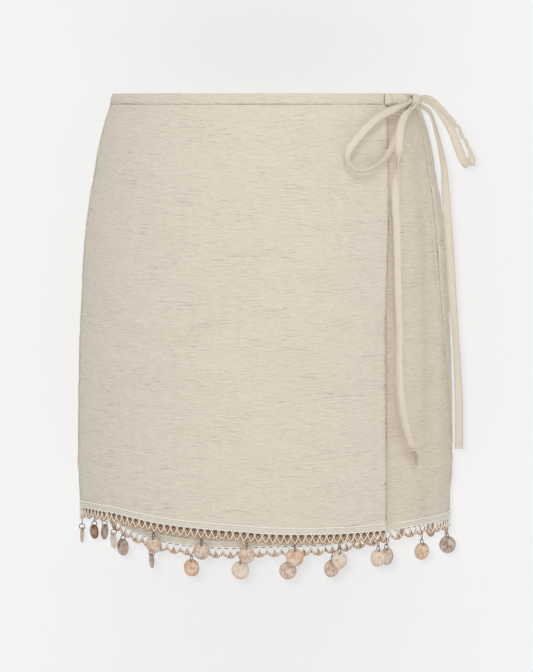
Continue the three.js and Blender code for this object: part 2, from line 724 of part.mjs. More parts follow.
function asManifold(shape) {
  shape.deleteAttribute('normal');
  shape.deleteAttribute('uv');
  const welded = mergeVertices(shape, FINE_WELD);
  return new wasm.Manifold(
    new wasm.Mesh({
      numProp: 3,
      vertProperties: new Float32Array(welded.attributes.position.array),
      triVerts: new Uint32Array(welded.index.array),
    }),
  );
}

// A ring and its shell disc, joined where the ring passes through the disc
function dropShape(panel, drop) {
  const ring = new THREE.TorusGeometry(RING.radius, RING.wire, RING.sides, RING.turns);
  ring.rotateY(Math.PI / 2);
  ring.translate(0, 0, RING.centre);
  const disc = new THREE.CylinderGeometry(0.5, 0.5, DISC.thickness, DISC.sides);
  disc.scale(drop.width, 1, drop.height);
  disc.translate(0, 0, DISC.top - drop.height / 2 - DISC_PIVOT);
  disc.rotateY(THREE.MathUtils.degToRad(drop.lean));
  disc.rotateZ(THREE.MathUtils.degToRad(drop.facing - drop.angle));
  disc.translate(0, 0, DISC_PIVOT);
  const joined = asManifold(ring).add(asManifold(disc)).getMesh();
  const shape = new THREE.BufferGeometry();
  shape.setAttribute('position', new THREE.Float32BufferAttribute(joined.vertProperties, 3));
  shape.setIndex(Array.from(joined.triVerts));
  shape.rotateZ(THREE.MathUtils.degToRad(drop.angle));
  const hook = panel.place(drop.angle, panel.hem(drop.angle) + drop.bar, (LACE_OUT + LACE_IN) / 2);
  shape.translate(hook.x, hook.y, hook.z);
  return shape;
}

// Assembly
const skirt = new THREE.Group();
skirt.name = 'wrap_skirt';

function add(name, geometry, look) {
  const mesh = new THREE.Mesh(geometry, look);
  mesh.name = name;
  skirt.add(mesh);
}

const cloth = material(CLOTH_COLOUR, 0.95);
const tie = material(TIE_COLOUR, 0.95);
const tape = material(TAPE_COLOUR, 0.95);
const lace = material(LACE_COLOUR, 0.95);

add('front_overlap', panelWall(OVERLAP), cloth);
add('front_under', panelWall(UNDER), cloth);
add('back_panel', panelWall(BACK), cloth);
add('waistband', waistbandWall(), cloth);
add('keeper', keeperWall(), tie);
add('tie_lead', tieLeadWall(), tie);
add('tie_knot', knotBall(), tie);
add('tie_loop_left', ribbon(LEFT_LOOP), tie);
add('tie_loop_right', ribbon(RIGHT_LOOP), tie);
add('tie_tail_left', ribbon(LEFT_TAIL), tie);
add('tie_tail_right', ribbon(RIGHT_TAIL), tie);

for (const [name, panel, drops] of [
  ['overlap', OVERLAP, OVERLAP_DROPS],
  ['under', UNDER, UNDER_DROPS],
  ['back', BACK, BACK_DROPS],
]) {
  const ruler = hemRuler(panel);
  const hung = hangDrops(ruler, drops);
  add(`tape_${name}`, tapeWall(panel), tape);
  add(`lace_${name}`, laceWall(panel, ruler, hung), lace);
  hung.forEach((drop, index) => {
    const look = material(SHELL_TONES[drop.tone], 0.35);
    add(`drop_${name}_${String(index + 1).padStart(2, '0')}`, dropShape(panel, drop), look);
  });
}

export default skirt;
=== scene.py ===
# Wrap skirt, filled out as it is worn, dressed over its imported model.
# Metres, +Z up, the front faces -Y. Angles are in degrees round the body from the front centre
# towards +X, and drops are measured down from the waistband's top edge.

import json
import math

import bpy
import numpy as np
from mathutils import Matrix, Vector

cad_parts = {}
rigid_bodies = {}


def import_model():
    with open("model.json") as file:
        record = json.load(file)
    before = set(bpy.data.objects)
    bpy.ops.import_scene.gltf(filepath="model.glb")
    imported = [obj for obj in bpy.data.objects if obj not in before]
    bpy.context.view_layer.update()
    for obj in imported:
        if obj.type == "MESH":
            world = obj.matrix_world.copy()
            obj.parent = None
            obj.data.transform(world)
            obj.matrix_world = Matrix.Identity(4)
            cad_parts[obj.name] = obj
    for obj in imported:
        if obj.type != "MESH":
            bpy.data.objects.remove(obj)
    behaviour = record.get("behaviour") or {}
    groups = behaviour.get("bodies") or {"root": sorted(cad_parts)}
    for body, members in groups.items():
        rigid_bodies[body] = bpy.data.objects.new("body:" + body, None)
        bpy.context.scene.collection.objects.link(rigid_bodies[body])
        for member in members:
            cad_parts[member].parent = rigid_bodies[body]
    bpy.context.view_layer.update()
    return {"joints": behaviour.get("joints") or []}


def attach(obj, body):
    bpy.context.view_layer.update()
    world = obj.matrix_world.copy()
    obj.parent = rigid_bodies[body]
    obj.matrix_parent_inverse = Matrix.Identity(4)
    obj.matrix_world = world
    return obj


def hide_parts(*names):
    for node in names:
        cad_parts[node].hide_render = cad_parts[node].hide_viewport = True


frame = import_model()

ROOT = "skirt"
SEED = 7

# Camera: level with the waist and tilted a little down
CAMERA_PLACE = (0.0014, -2.5, 0.0)
CAMERA_TILT = 5.1
CAMERA_LENS = 142.5

# Light
KEY_STRENGTH = 5.8
KEY_PLACE = (0.2, -1.25, 1.15)
KEY_SIZE = 0.5
KEY_AIM = (0, 0, -0.18)
FRONT_STRENGTH = 13
FRONT_SIZE = 0.08
FRONT_TINT = (1.0, 0.955, 0.89)
FRONT_SHIFT = (-0.05, 0, 0.05)
FILL_STRENGTH = 0.58
WALL_GLOW = 0.428
WALL_TINT = (0.98, 1.0, 1.022, 1)
WALL_Y = 0.14
WALL_SIZE = (3, 2.4)
FLOOR_Z = -0.62
FLOOR_SIZE = 4
FLOOR_TINT = (0.88, 0.88, 0.88, 1)

# Cloth sizes
BAND_HEIGHT = 0.0095
TOP_Z = BAND_HEIGHT / 2
CLOTH_THICK = 0.0006
SEAM_ANGLE = 0.078
RIBBON_WIDTH = 0.0085
RIBBON_TRIM = 0.92
RIBBON_THICK = 0.0013
RIBBON_STEP = 0.0011

# Crepe's wrinkles: heights of the broad waves, the long creases and the short nicks
BROAD_RISE = 0.00052
CREASE_RISE = 0.00029
NICK_RISE = 0.00018

# Stitches: length, gap and thread radius
TIE_STITCH = (0.0024, 0.0006, 0.0002)
SEAM_STITCH = (0.0026, 0.0007, 0.0002)
BAND_STITCH = (0.0023, 0.0009, 0.00016)
KEEPER_STITCH = (0.0011, 0.0004, 0.00014)
RIBBON_ROW = 0.78
SEAM_ROWS = (0.0022, 0.0075)
FREE_EDGE_ROW = 0.0046

# Seams and free edges, as angles
LEFT_SEAM = -80.0
UNDER_EDGE = -57.0
BAND_END = 53.0

# Keeper: its angle, half its width, and the degrees that it leans back for each metre of drop
KEEPER_AT = 51.6
KEEPER_HALF = 2.0
KEEPER_LEAN = 110

# Drop of the hem at the right side seam and at the overlap's free edge
EDGE_HEM = 0.3924


def table(names, *rows):
    """A short table as named columns."""
    return {name: np.array(column, float) for name, column in zip(names.split(), zip(*rows))}


BODY = table(
    "drop half_width half_depth",
    (0.0, 0.1425, 0.102),
    (0.012, 0.1453, 0.1035),
    (0.025, 0.1496, 0.1065),
    (0.053, 0.1566, 0.11),
    (0.077, 0.1605, 0.112),
    (0.1, 0.1649, 0.114),
    (0.145, 0.1701, 0.1165),
    (0.194, 0.173, 0.118),
    (0.246, 0.1754, 0.119),
    (0.345, 0.1769, 0.1195),
    (0.39, 0.1748, 0.119),
    (0.44, 0.1745, 0.119),
)
FREE_EDGE = table(
    "drop x",
    (0.0, 0.111),
    (0.042, 0.112),
    (0.097, 0.1125),
    (0.214, 0.11),
    (0.315, 0.1107),
    (0.44, 0.1112),
)
RIGHT_SEAM = table(
    "drop angle",
    (0.0, 74),
    (0.135, 71),
    (0.22, 73),
    (0.283, 78),
    (0.32, 82),
    (0.44, 84),
)
LAYER_GAP = table("drop gap", (0.0, 0.0026), (0.06, 0.0026), (0.38, 0.005), (0.44, 0.005))
TUCK_FROM = 2.0
TUCK_TO = 14.0
FOLDS = table(
    "top_angle low_angle spread lift start end",
    (-76, -75, 4, 0.0009, 0.3, 0.47),
    (-66, -68, 5, -0.0007, 0.34, 0.46),
    (-57, -60, 5, 0.0007, 0.33, 0.47),
    (65, 59.5, 9, -0.0042, 0.012, 0.42),
    (76, 84, 8, 0.0009, 0.06, 0.42),
    (112, 118, 15, 0.0013, 0.09, 0.47),
    (146, 149, 14, -0.0014, 0.15, 0.48),
    (176, 173, 17, 0.0011, 0.04, 0.46),
    (208, 214, 13, -0.0012, 0.12, 0.48),
    (244, 240, 15, 0.0012, 0.07, 0.4),
)
OVERLAP_HEM = table(
    "angle drop",
    (-82, 0.3825),
    (-64, 0.38),
    (-55, 0.3798),
    (-42, 0.3827),
    (-34, 0.3852),
    (-24, 0.3872),
    (-8, 0.3898),
    (2, 0.392),
    (12, 0.3928),
    (23, 0.3932),
    (42, 0.3924),
)
UNDER_HEM = table(
    "angle drop",
    (-57, 0.385),
    (-46, 0.395),
    (-41, 0.3984),
    (-32, 0.4027),
    (-20, 0.4051),
    (-12, 0.4057),
    (2, 0.404),
    (16, 0.4034),
    (25, 0.401),
    (35, 0.3975),
    (44, 0.394),
    (53, 0.392),
    (86, 0.3924),
)
BACK_HEM = table(
    "angle drop",
    (80, 0.3924),
    (130, 0.393),
    (205, 0.393),
    (250, 0.3895),
    (270, 0.3863),
    (282, 0.3825),
)

# Lace: drops below the hem, within scallops of about this pitch
LACE_PITCH = 0.0134
LACE_TOP = 0.0057
LACE_MIDDLE = -0.0007
LACE_ENDS = 0.0004
LACE_SHAPE = (0.014, 0.0036, 1.9)
ROPE_TWIST = 0.0034
ROPE_SWELL = 0.00068
ROPE_RADIUS = 0.00082
ROPE_THINNED = 0.58
ZIGZAG_RADIUS = 0.00042
LASH_PITCH = 0.0021
LASH_CLEAR = 0.0024

# Fans: how far each yarn spreads along the hem at a crossing, and the drop that it starts at
FANS = ((-0.0021, 0.0082), (-0.0008, 0.0078), (0.0008, 0.0078), (0.0021, 0.0082), (0.0031, 0.0098))
FILL_SPREADS = (-0.0022, -0.0015, -0.0008, 0.0, 0.0008, 0.0015, 0.0022)

# Crossed white threads: share of a half cell along the hem, and drop
ZIGZAG_SHARE = np.array((0, 0.7, 1.9, 3.35, 4.6, 5.5, 6.7)) / 6.7
ZIGZAG_DROP = np.array((0.0131, 0.0125, 0.0104, 0.0078, 0.0056, 0.0049, 0.0047))

# Tape: its section in millimetres, drop and height off the cloth, then its rows and edge cords
TAPE_DROP = (-0.6, -0.55, -0.2, 0.3, 1.2, 2.2, 3.2, 4.1, 4.6, 5.1, 5.4, 5.3, 4.5, 2.5, 0.8, -0.3)
TAPE_OUT = (-0.1, 0.35, 0.62, 0.42, 0.36, 0.4, 0.36, 0.42, 0.62, 0.5, 0.0, -0.9, -1.0, -1.0, -1.0, -0.9)
TAPE_ROWS = ((-0.0003, 0.001), (0.0016, 0.0008), (0.0033, 0.0008), (0.0047, 0.001))
TAPE_CORDS = ((-0.0006, 0.0006, 0.00042), (0.0049, 0.0007, 0.00048))

# Left tail: its lower stretch is folded lengthwise and ends in a torn tuft
VALLEY_AT = -0.15
VALLEY_STEEP = 0.0042
VALLEY_GENTLE = 0.001
TUFT_WAY = np.array((0.319, 0.202, -0.926))
TUFT_TURNS = 3
TUFT_THREADS = 44

# Ring and disc, measured down from the bar that the ring hangs on
RING_RADIUS = 0.0027
RING_WIRE = 0.00042
RING_CENTRE = -0.0019
DISC_TOP = -0.0024
DISC_PIVOT = -0.0043
DISC_THICK = 0.0015
HOLE_RADIUS = 0.0009

# Discs: the way that each faces, how far it leans, its size and its tone
DISCS = {
    "overlap": (
        (-56, 0, 0.015, 0.0136, "brown"),
        (-67, 7, 0.015, 0.0153, "cream"),
        (-20, -3, 0.0152, 0.0153, "pink"),
        (-14, 0, 0.0158, 0.0153, "pink"),
        (-2, 3, 0.0152, 0.0156, "grey:pink"),
        (6, 0, 0.0164, 0.016, "orange"),
        (24, -4, 0.0148, 0.0162, "orange:cream"),
        (26, 2, 0.0156, 0.0163, "cream"),
    ),
    "under": (
        (-44, 0, 0.0152, 0.0158, "grey"),
        (-72, 5, 0.015, 0.014, "grey"),
        (-22, 2, 0.015, 0.0162, "orange"),
        (-8, 0, 0.0164, 0.0162, "cream"),
        (7, 0, 0.016, 0.016, "orange:pink"),
        (23, 5, 0.0152, 0.0162, "brown:pink"),
        (34, -3, 0.0154, 0.016, "orange:pink"),
        (27, 0, 0.0154, 0.0158, "orange"),
        (14, 0, 0.0162, 0.0164, "grey"),
    ),
    "back": (
        (90, 0, 0.0152, 0.0154, "cream"),
        (118, 3, 0.0154, 0.0156, "pink"),
        (126, -2, 0.015, 0.0152, "orange"),
        (150, 0, 0.0158, 0.0156, "cream"),
        (155, 4, 0.0152, 0.016, "grey"),
        (174, 0, 0.0156, 0.0154, "orange"),
        (190, -4, 0.015, 0.0156, "pink"),
        (198, 0, 0.0154, 0.0152, "cream"),
        (220, 2, 0.016, 0.016, "orange"),
        (248, 0, 0.0152, 0.015, "brown:grey"),
        (264, 3, 0.015, 0.0152, "cream"),
    ),
}

# Ribbons: route, width and the direction that the width takes at each point
KNOT = np.array((0.139, -0.04, -0.0015))
KNOT_SIZE = np.array((0.0048, 0.0045, 0.0054))
ROUTE = "x y z width across_x across_y across_z"
LEFT_LOOP = table(
    ROUTE,
    (0.1347, -0.0433, -0.0009, 0.0032, 0, 0, 1),
    (0.1315, -0.0495, -0.004, 0.0036, -0.1, 0, 1),
    (0.121, -0.068, -0.008, 0.007, -0.3, 0.1, 1),
    (0.106, -0.083, -0.015, 0.0084, -0.5, 0, 0.85),
    (0.092, -0.095, -0.026, 0.0085, -0.6, -0.1, 0.8),
    (0.082, -0.102, -0.037, 0.0085, -0.7, -0.05, 0.65),
    (0.075, -0.1055, -0.046, 0.0085, -0.75, 0.4, 0.45),
    (0.073, -0.106, -0.054, 0.0085, -0.55, 0.83, 0.0),
    (0.0765, -0.105, -0.061, 0.0085, -0.4, 0.88, -0.3),
    (0.0835, -0.1025, -0.065, 0.0085, -0.1, 0.95, -0.3),
    (0.093, -0.0985, -0.0645, 0.0085, 0.05, 0.95, -0.3),
    (0.103, -0.092, -0.06, 0.0085, 0.2, 0.85, -0.45),
    (0.111, -0.0855, -0.052, 0.0085, 0.4, 0.75, -0.5),
    (0.116, -0.079, -0.043, 0.008, 0.6, 0.6, -0.5),
    (0.12, -0.0725, -0.033, 0.0075, 0.75, 0.5, -0.4),
    (0.1245, -0.064, -0.022, 0.0055, 0.7, 0.65, -0.4),
    (0.1305, -0.053, -0.0125, 0.0036, 0.6, 0.7, -0.5),
    (0.1345, -0.0421, -0.0053, 0.0024, 0.6, 0.7, -0.5),
)
RIGHT_LOOP = table(
    ROUTE,
    (0.1435, -0.0424, -0.0018, 0.0032, 0.1, -0.3, 1),
    (0.1456, -0.0435, -0.002, 0.0036, 0.1, -0.3, 1),
    (0.151, -0.044, -0.0035, 0.0042, 0.3, -0.6, 0.8),
    (0.157, -0.045, -0.008, 0.0052, 0.5, -0.5, 0.7),
    (0.162, -0.046, -0.014, 0.0064, 0.75, -0.4, 0.5),
    (0.167, -0.0465, -0.021, 0.0076, 0.85, -0.3, 0.4),
    (0.172, -0.0465, -0.03, 0.0085, 0.9, 0, 0.4),
    (0.1755, -0.046, -0.039, 0.0085, 0.92, 0, 0.38),
    (0.1795, -0.045, -0.049, 0.0085, 0.9, 0, 0.42),
    (0.184, -0.042, -0.058, 0.0085, 0.9, 0, 0.45),
    (0.1885, -0.037, -0.0615, 0.0085, 0.9, 0.1, 0.42),
    (0.1915, -0.0325, -0.057, 0.0085, 0.85, 0.5, 0.1),
    (0.191, -0.029, -0.05, 0.0085, 0.5, 0.85, -0.1),
    (0.188, -0.027, -0.0435, 0.0085, 0.4, 0.9, -0.1),
    (0.1856, -0.026, -0.0375, 0.0085, 0.3, 0.92, 0),
    (0.1832, -0.026, -0.036, 0.0085, 0.45, 0.85, 0.1),
    (0.1795, -0.026, -0.0262, 0.0085, 0.25, 0.95, 0.1),
    (0.1768, -0.026, -0.0249, 0.0085, 0.4, 0.9, 0.2),
    (0.174, -0.0265, -0.02, 0.0085, 0.3, 0.95, 0.1),
    (0.1675, -0.0275, -0.013, 0.008, 0.3, 0.9, 0.2),
    (0.1605, -0.029, -0.006, 0.007, 0.3, 0.8, 0.4),
    (0.1535, -0.0315, -0.0005, 0.0055, 0.2, 0.6, 0.7),
    (0.146, -0.035, 0.0015, 0.0036, 0.1, 0.3, 0.9),
    (0.143, -0.0372, 0.0004, 0.003, 0.1, 0.3, 0.9),
)
LEFT_TAIL = table(
    ROUTE,
    (0.1385, -0.0441, -0.0046, 0.0028, 0.95, -0.1, 0.3),
    (0.137, -0.0505, -0.008, 0.004, 0.95, -0.1, 0.5),
    (0.129, -0.0695, -0.013, 0.0075, 0.9, -0.1, 0.2),
    (0.1235, -0.08, -0.025, 0.0085, 0.95, -0.2, 0.2),
    (0.1215, -0.0865, -0.043, 0.0085, 0.97, -0.2, 0),
    (0.12, -0.0865, -0.057, 0.0085, 0.15, -0.98, 0),
    (0.119, -0.084, -0.075, 0.0085, 0.85, -0.5, 0),
    (0.119, -0.0835, -0.097, 0.0085, 1, 0.15, 0),
    (0.12, -0.085, -0.12, 0.0085, 0.95, 0.35, 0),
    (0.121, -0.088, -0.165, 0.0085, 0.92, 0.4, 0),
    (0.122, -0.09, -0.21, 0.0085, 0.9, 0.4, 0),
    (0.1218, -0.093, -0.244, 0.0085, 0.96, 0.2, 0),
    (0.1236, -0.0925, -0.269, 0.0085, 0.99, 0.08, 0.1),
    (0.1278, -0.09, -0.293, 0.0084, 0.99, 0.06, 0.1),
    (0.1326, -0.0872, -0.3115, 0.0074, 0.98, 0.12, 0.15),
    (0.1344, -0.086, -0.3178, 0.0056, 0.97, 0.2, 0.2),
)
RIGHT_TAIL = table(
    ROUTE,
    (0.1427, -0.0386, -0.0052, 0.0028, 0.5, 0.3, 0.6),
    (0.1445, -0.038, -0.007, 0.0036, 0.5, 0.3, 0.6),
    (0.1485, -0.0365, -0.0095, 0.0045, 0.5, 0.6, 0.4),
    (0.152, -0.035, -0.013, 0.0065, 0.45, 0.8, 0.2),
    (0.155, -0.034, -0.02, 0.008, 0.35, 0.9, 0.1),
    (0.1583, -0.033, -0.031, 0.0085, 0.45, 0.88, 0.1),
    (0.161, -0.0325, -0.042, 0.0085, 0.5, 0.85, 0.1),
    (0.1635, -0.032, -0.053, 0.0085, 0.65, 0.75, 0.1),
    (0.166, -0.032, -0.068, 0.0085, 0.8, 0.6, 0.1),
    (0.168, -0.032, -0.094, 0.0085, 0.98, 0.2, 0),
    (0.1715, -0.032, -0.138, 0.0085, 0.98, 0.15, 0),
    (0.1745, -0.032, -0.183, 0.0085, 0.95, 0.3, 0),
    (0.177, -0.032, -0.215, 0.0085, 0.8, 0.6, 0),
    (0.1793, -0.032, -0.25, 0.0085, 0.88, 0.48, 0),
    (0.181, -0.032, -0.286, 0.0085, 1, 0.1, 0),
    (0.1813, -0.032, -0.326, 0.0085, 1, 0, 0),
)


# Curves and noise
def read(rows, key, column, at):
    """A column's value between a table's rows, on a smooth curve with no overshoot."""
    x, y = rows[key], rows[column]
    span = np.diff(x)
    slope = np.diff(y) / span
    product = slope[:-1] * slope[1:]
    total = np.where(product > 0, slope[:-1] + slope[1:], 1.0)
    inner = np.where(product > 0, 2 * product / total, 0.0)
    lean = np.concatenate([slope[:1], inner, slope[-1:]])
    at = np.clip(at, x[0], x[-1])
    row = np.clip(np.searchsorted(x, at, side="right") - 1, 0, len(span) - 1)
    t = (at - x[row]) / span[row]
    bend = span[row] * t * (1 - t) * (lean[row] * (1 - t) - lean[row + 1] * t)
    return y[row] * (1 + 2 * t) * (1 - t) ** 2 + y[row + 1] * t * t * (3 - 2 * t) + bend


def step_up(at, low, high):
    """From 0 at low to 1 at high, smoothly."""
    t = np.clip((at - low) / (high - low), 0, 1)
    return t * t * (3 - 2 * t)


def noise(u, v, seed):
    """Gradient noise of about -1 to 1 on a plane, with waves about one unit long."""
    size = 64
    turn = np.random.default_rng(seed).uniform(0, 2 * np.pi, (size, size))
    i, j = np.floor(u).astype(int), np.floor(v).astype(int)
    x, y = u - i, v - j
    fade_x, fade_y = (6 * x**5 - 15 * x**4 + 10 * x**3), (6 * y**5 - 15 * y**4 + 10 * y**3)

    def corner(a, b):
        angle = turn[(i + a) % size, (j + b) % size]
        return np.cos(angle) * (x - a) + np.sin(angle) * (y - b)

    near = corner(0, 0) * (1 - fade_x) + corner(1, 0) * fade_x
    far = corner(0, 1) * (1 - fade_x) + corner(1, 1) * fade_x
    return 1.5 * (near * (1 - fade_y) + far * fade_y)


def crinkle(u, v, seed):
    """Height of the crepe's wrinkles: long and wavy across the cloth, short down it."""
    sway = 0.0045 * noise(u / 0.045, v / 0.06, seed)
    broad = noise(u / 0.04, (v + sway) / 0.014, seed + 1)
    long = noise(u / 0.034 + 7.3, (v + 1.3 * sway) / 0.0086, seed + 2)
    short = noise(u / 0.015 + 3.1, (v + sway) / 0.0056, seed + 3)
    patch = np.clip(0.6 + 0.9 * noise(u / 0.055, v / 0.022, seed + 4), 0.2, 1.0)
    other = np.clip(0.55 + 1.0 * noise(u / 0.04 + 9, v / 0.018, seed + 5), 0.15, 1.0)
    creases = np.exp(-((long / 0.3) ** 2)) * patch
    nicks = np.exp(-((short / 0.3) ** 2)) * other
    return BROAD_RISE * broad + CREASE_RISE * creases + NICK_RISE * nicks


# The body's form
def fold_lift(angle, drop):
    lift = np.zeros(np.broadcast(angle, drop).shape)
    for top, low, spread, height, start, end in zip(*FOLDS.values()):
        along = (drop - start) / (end - start)
        across = (angle - (top + (low - top) * along)) / spread
        inside = (along > 0) & (along < 1) & (np.abs(across) < 1)
        fade = np.sin(np.clip(along, 0, 1) * np.pi) ** 0.7
        lift += np.where(inside, height * np.cos(across * np.pi / 2) ** 2 * fade, 0.0)
    return lift


def skin(angle, drop, out=0.0):
    """Places on the outer cloth, moved out along its normal."""
    half_width = read(BODY, "drop", "half_width", drop)
    half_depth = read(BODY, "drop", "half_depth", drop)
    turn = np.radians(angle)
    normal_x, normal_y = np.sin(turn) * half_depth, -np.cos(turn) * half_width
    lift = out + fold_lift(np.where(angle < -100, angle + 360, angle), drop)
    lift = lift / np.hypot(normal_x, normal_y)
    x = half_width * np.sin(turn) + normal_x * lift
    y = -half_depth * np.cos(turn) + normal_y * lift
    return np.stack([x, y, TOP_Z - drop + 0 * x], -1)


def free_edge_angle(drop):
    share = read(FREE_EDGE, "drop", "x", drop) / read(BODY, "drop", "half_width", drop)
    return np.degrees(np.arcsin(share))


def tucked_skin(angle, drop, out=0.0):
    """Places on the tucked layer, which slips inside the outer one past the free edge."""
    edge = free_edge_angle(drop)
    tucked = 1 - step_up(angle, edge + TUCK_FROM, edge + TUCK_TO)
    return skin(angle, drop, out - tucked * read(LAYER_GAP, "drop", "gap", drop))


class Panel:
    """A panel's side edges, hem and layer."""

    def __init__(self, left, right, hem, place):
        self.left, self.right, self.place = left, right, place
        self.hem = lambda angle: read(hem, "angle", "drop", angle)

    def spots(self, across, down, top):
        level = top + (EDGE_HEM - top) * down
        angle = self.left(level) + (self.right(level) - self.left(level)) * across
        return angle, top + (self.hem(angle) - top) * down

    def along_hem(self, steps):
        """Angles along the hem and the length of hem up to each."""
        edge = np.array([EDGE_HEM])
        start, end = float(self.left(edge)[0]), float(self.right(edge)[0])
        angle = np.linspace(start, end, steps + 1)
        line = self.place(angle, self.hem(angle))
        return angle, lengths_along(line)


def right_seam(drop):
    return read(RIGHT_SEAM, "drop", "angle", drop)


def level_line(angle):
    return lambda drop: angle + 0 * drop


PANELS = {
    "overlap": Panel(level_line(LEFT_SEAM + SEAM_ANGLE), free_edge_angle, OVERLAP_HEM, skin),
    "under": Panel(
        level_line(UNDER_EDGE), lambda drop: right_seam(drop) - SEAM_ANGLE, UNDER_HEM, tucked_skin
    ),
    "back": Panel(
        lambda drop: right_seam(drop) + SEAM_ANGLE,
        level_line(LEFT_SEAM + 360 - SEAM_ANGLE),
        BACK_HEM,
        skin,
    ),
}


# Meshes
def unit(vectors):
    return vectors / np.maximum(np.linalg.norm(vectors, axis=-1, keepdims=True), 1e-12)


def tangents(path):
    return unit(np.gradient(path, axis=0))


class Pile:
    """Gathers closed sweeps into one mesh."""

    def __init__(self):
        self.points, self.faces, self.spots, self.looks = [], [], [], []
        self.count = 0
        self.second = None

    def sweep(self, rings, spots=None, closed=False, look=0):
        """A closed mesh through rings of an even number of points. Open ends are capped."""
        n, m = rings.shape[:2]
        index = np.arange(n * m).reshape(n, m)
        ahead = np.roll(index, -1, axis=0) if closed else index[1:]
        here = index if closed else index[:-1]
        sides = np.stack([here, ahead, np.roll(ahead, -1, 1), np.roll(here, -1, 1)], -1)
        faces = [sides.reshape(-1, 4)]
        if not closed:
            low = np.arange(m // 2 - 1)
            cap = np.stack([low, low + 1, m - 2 - low, m - 1 - low], -1)
            faces += [cap, index[-1][cap[:, ::-1]]]
        faces = np.concatenate(faces)
        points = rings.reshape(-1, 3)
        a, b, c, d = (points[faces[:, k]] - points[0] for k in range(4))
        volume = np.sum(np.cross(a, b) * c) + np.sum(np.cross(a, c) * d)
        if volume < 0:
            faces = faces[:, ::-1]
        self.points.append(points)
        self.faces.append(faces + self.count)
        self.spots.append(np.zeros((n * m, 2)) if spots is None else spots.reshape(-1, 2))
        self.looks.append(np.full(len(faces), look))
        self.count += n * m

    def piece(self, name, materials, body, stands_for=()):
        """The mesh as a piece on a body, with its spots as its UV map in metres."""
        mesh = bpy.data.meshes.new(name)
        faces = np.concatenate(self.faces)
        mesh.from_pydata(np.concatenate(self.points).tolist(), [], faces.tolist())
        flat = np.concatenate(self.spots)[faces.ravel()]
        mesh.uv_layers.new(name="cloth").data.foreach_set("uv", flat.ravel())
        if self.second is not None:
            mesh.uv_layers.new(name="disc").data.foreach_set("uv", self.second[faces.ravel()].ravel())
        mesh.polygons.foreach_set("material_index", np.concatenate(self.looks))
        mesh.polygons.foreach_set("use_smooth", np.ones(len(faces), bool))
        for material in materials:
            mesh.materials.append(material)
        mesh.update()
        made = bpy.data.objects.new(name, mesh)
        bpy.context.scene.collection.objects.link(made)
        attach(made, body)
        if stands_for:
            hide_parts(*stands_for)
        return made


def round_rings(path, radius, sides, facing):
    """Rings of a round cord along a path. facing is a direction that the path never takes."""
    along = tangents(path)
    out = unit(facing - np.sum(facing * along, -1, keepdims=True) * along)
    side = np.cross(along, out)
    turn = np.arange(sides) / sides * 2 * np.pi
    around = out[:, None] * np.cos(turn)[:, None] + side[:, None] * np.sin(turn)[:, None]
    return path[:, None] + around * (radius * np.ones(len(path)))[:, None, None]


def lengths_along(path):
    """Length of a path up to each of its points."""
    return np.concatenate([[0], np.cumsum(np.linalg.norm(np.diff(path, axis=0), axis=1))])


def shell(outer, inner):
    """Rings of a thin wall from its two faces."""
    return np.concatenate([outer, inner[:, ::-1]], axis=1)


def arc_lengths(points, axis):
    """Distance along a grid's rows or columns."""
    gaps = np.linalg.norm(np.diff(points, axis=axis), axis=-1)
    pad = [(0, 0), (0, 0)]
    pad[axis] = (1, 0)
    return np.pad(np.cumsum(gaps, axis=axis), pad)


# Materials
BLACK = (0, 0, 0, 1)
WHITE = (1, 1, 1, 1)
MILK = (0.76, 0.74, 0.75, 1)


def tone(red, green, blue):
    """A colour as the eye sees it, from 0 to 255, as light."""
    share = np.array((red, green, blue)) / 255
    light = np.where(share <= 0.04045, share / 12.92, ((share + 0.055) / 1.055) ** 2.4)
    return (*light.tolist(), 1.0)


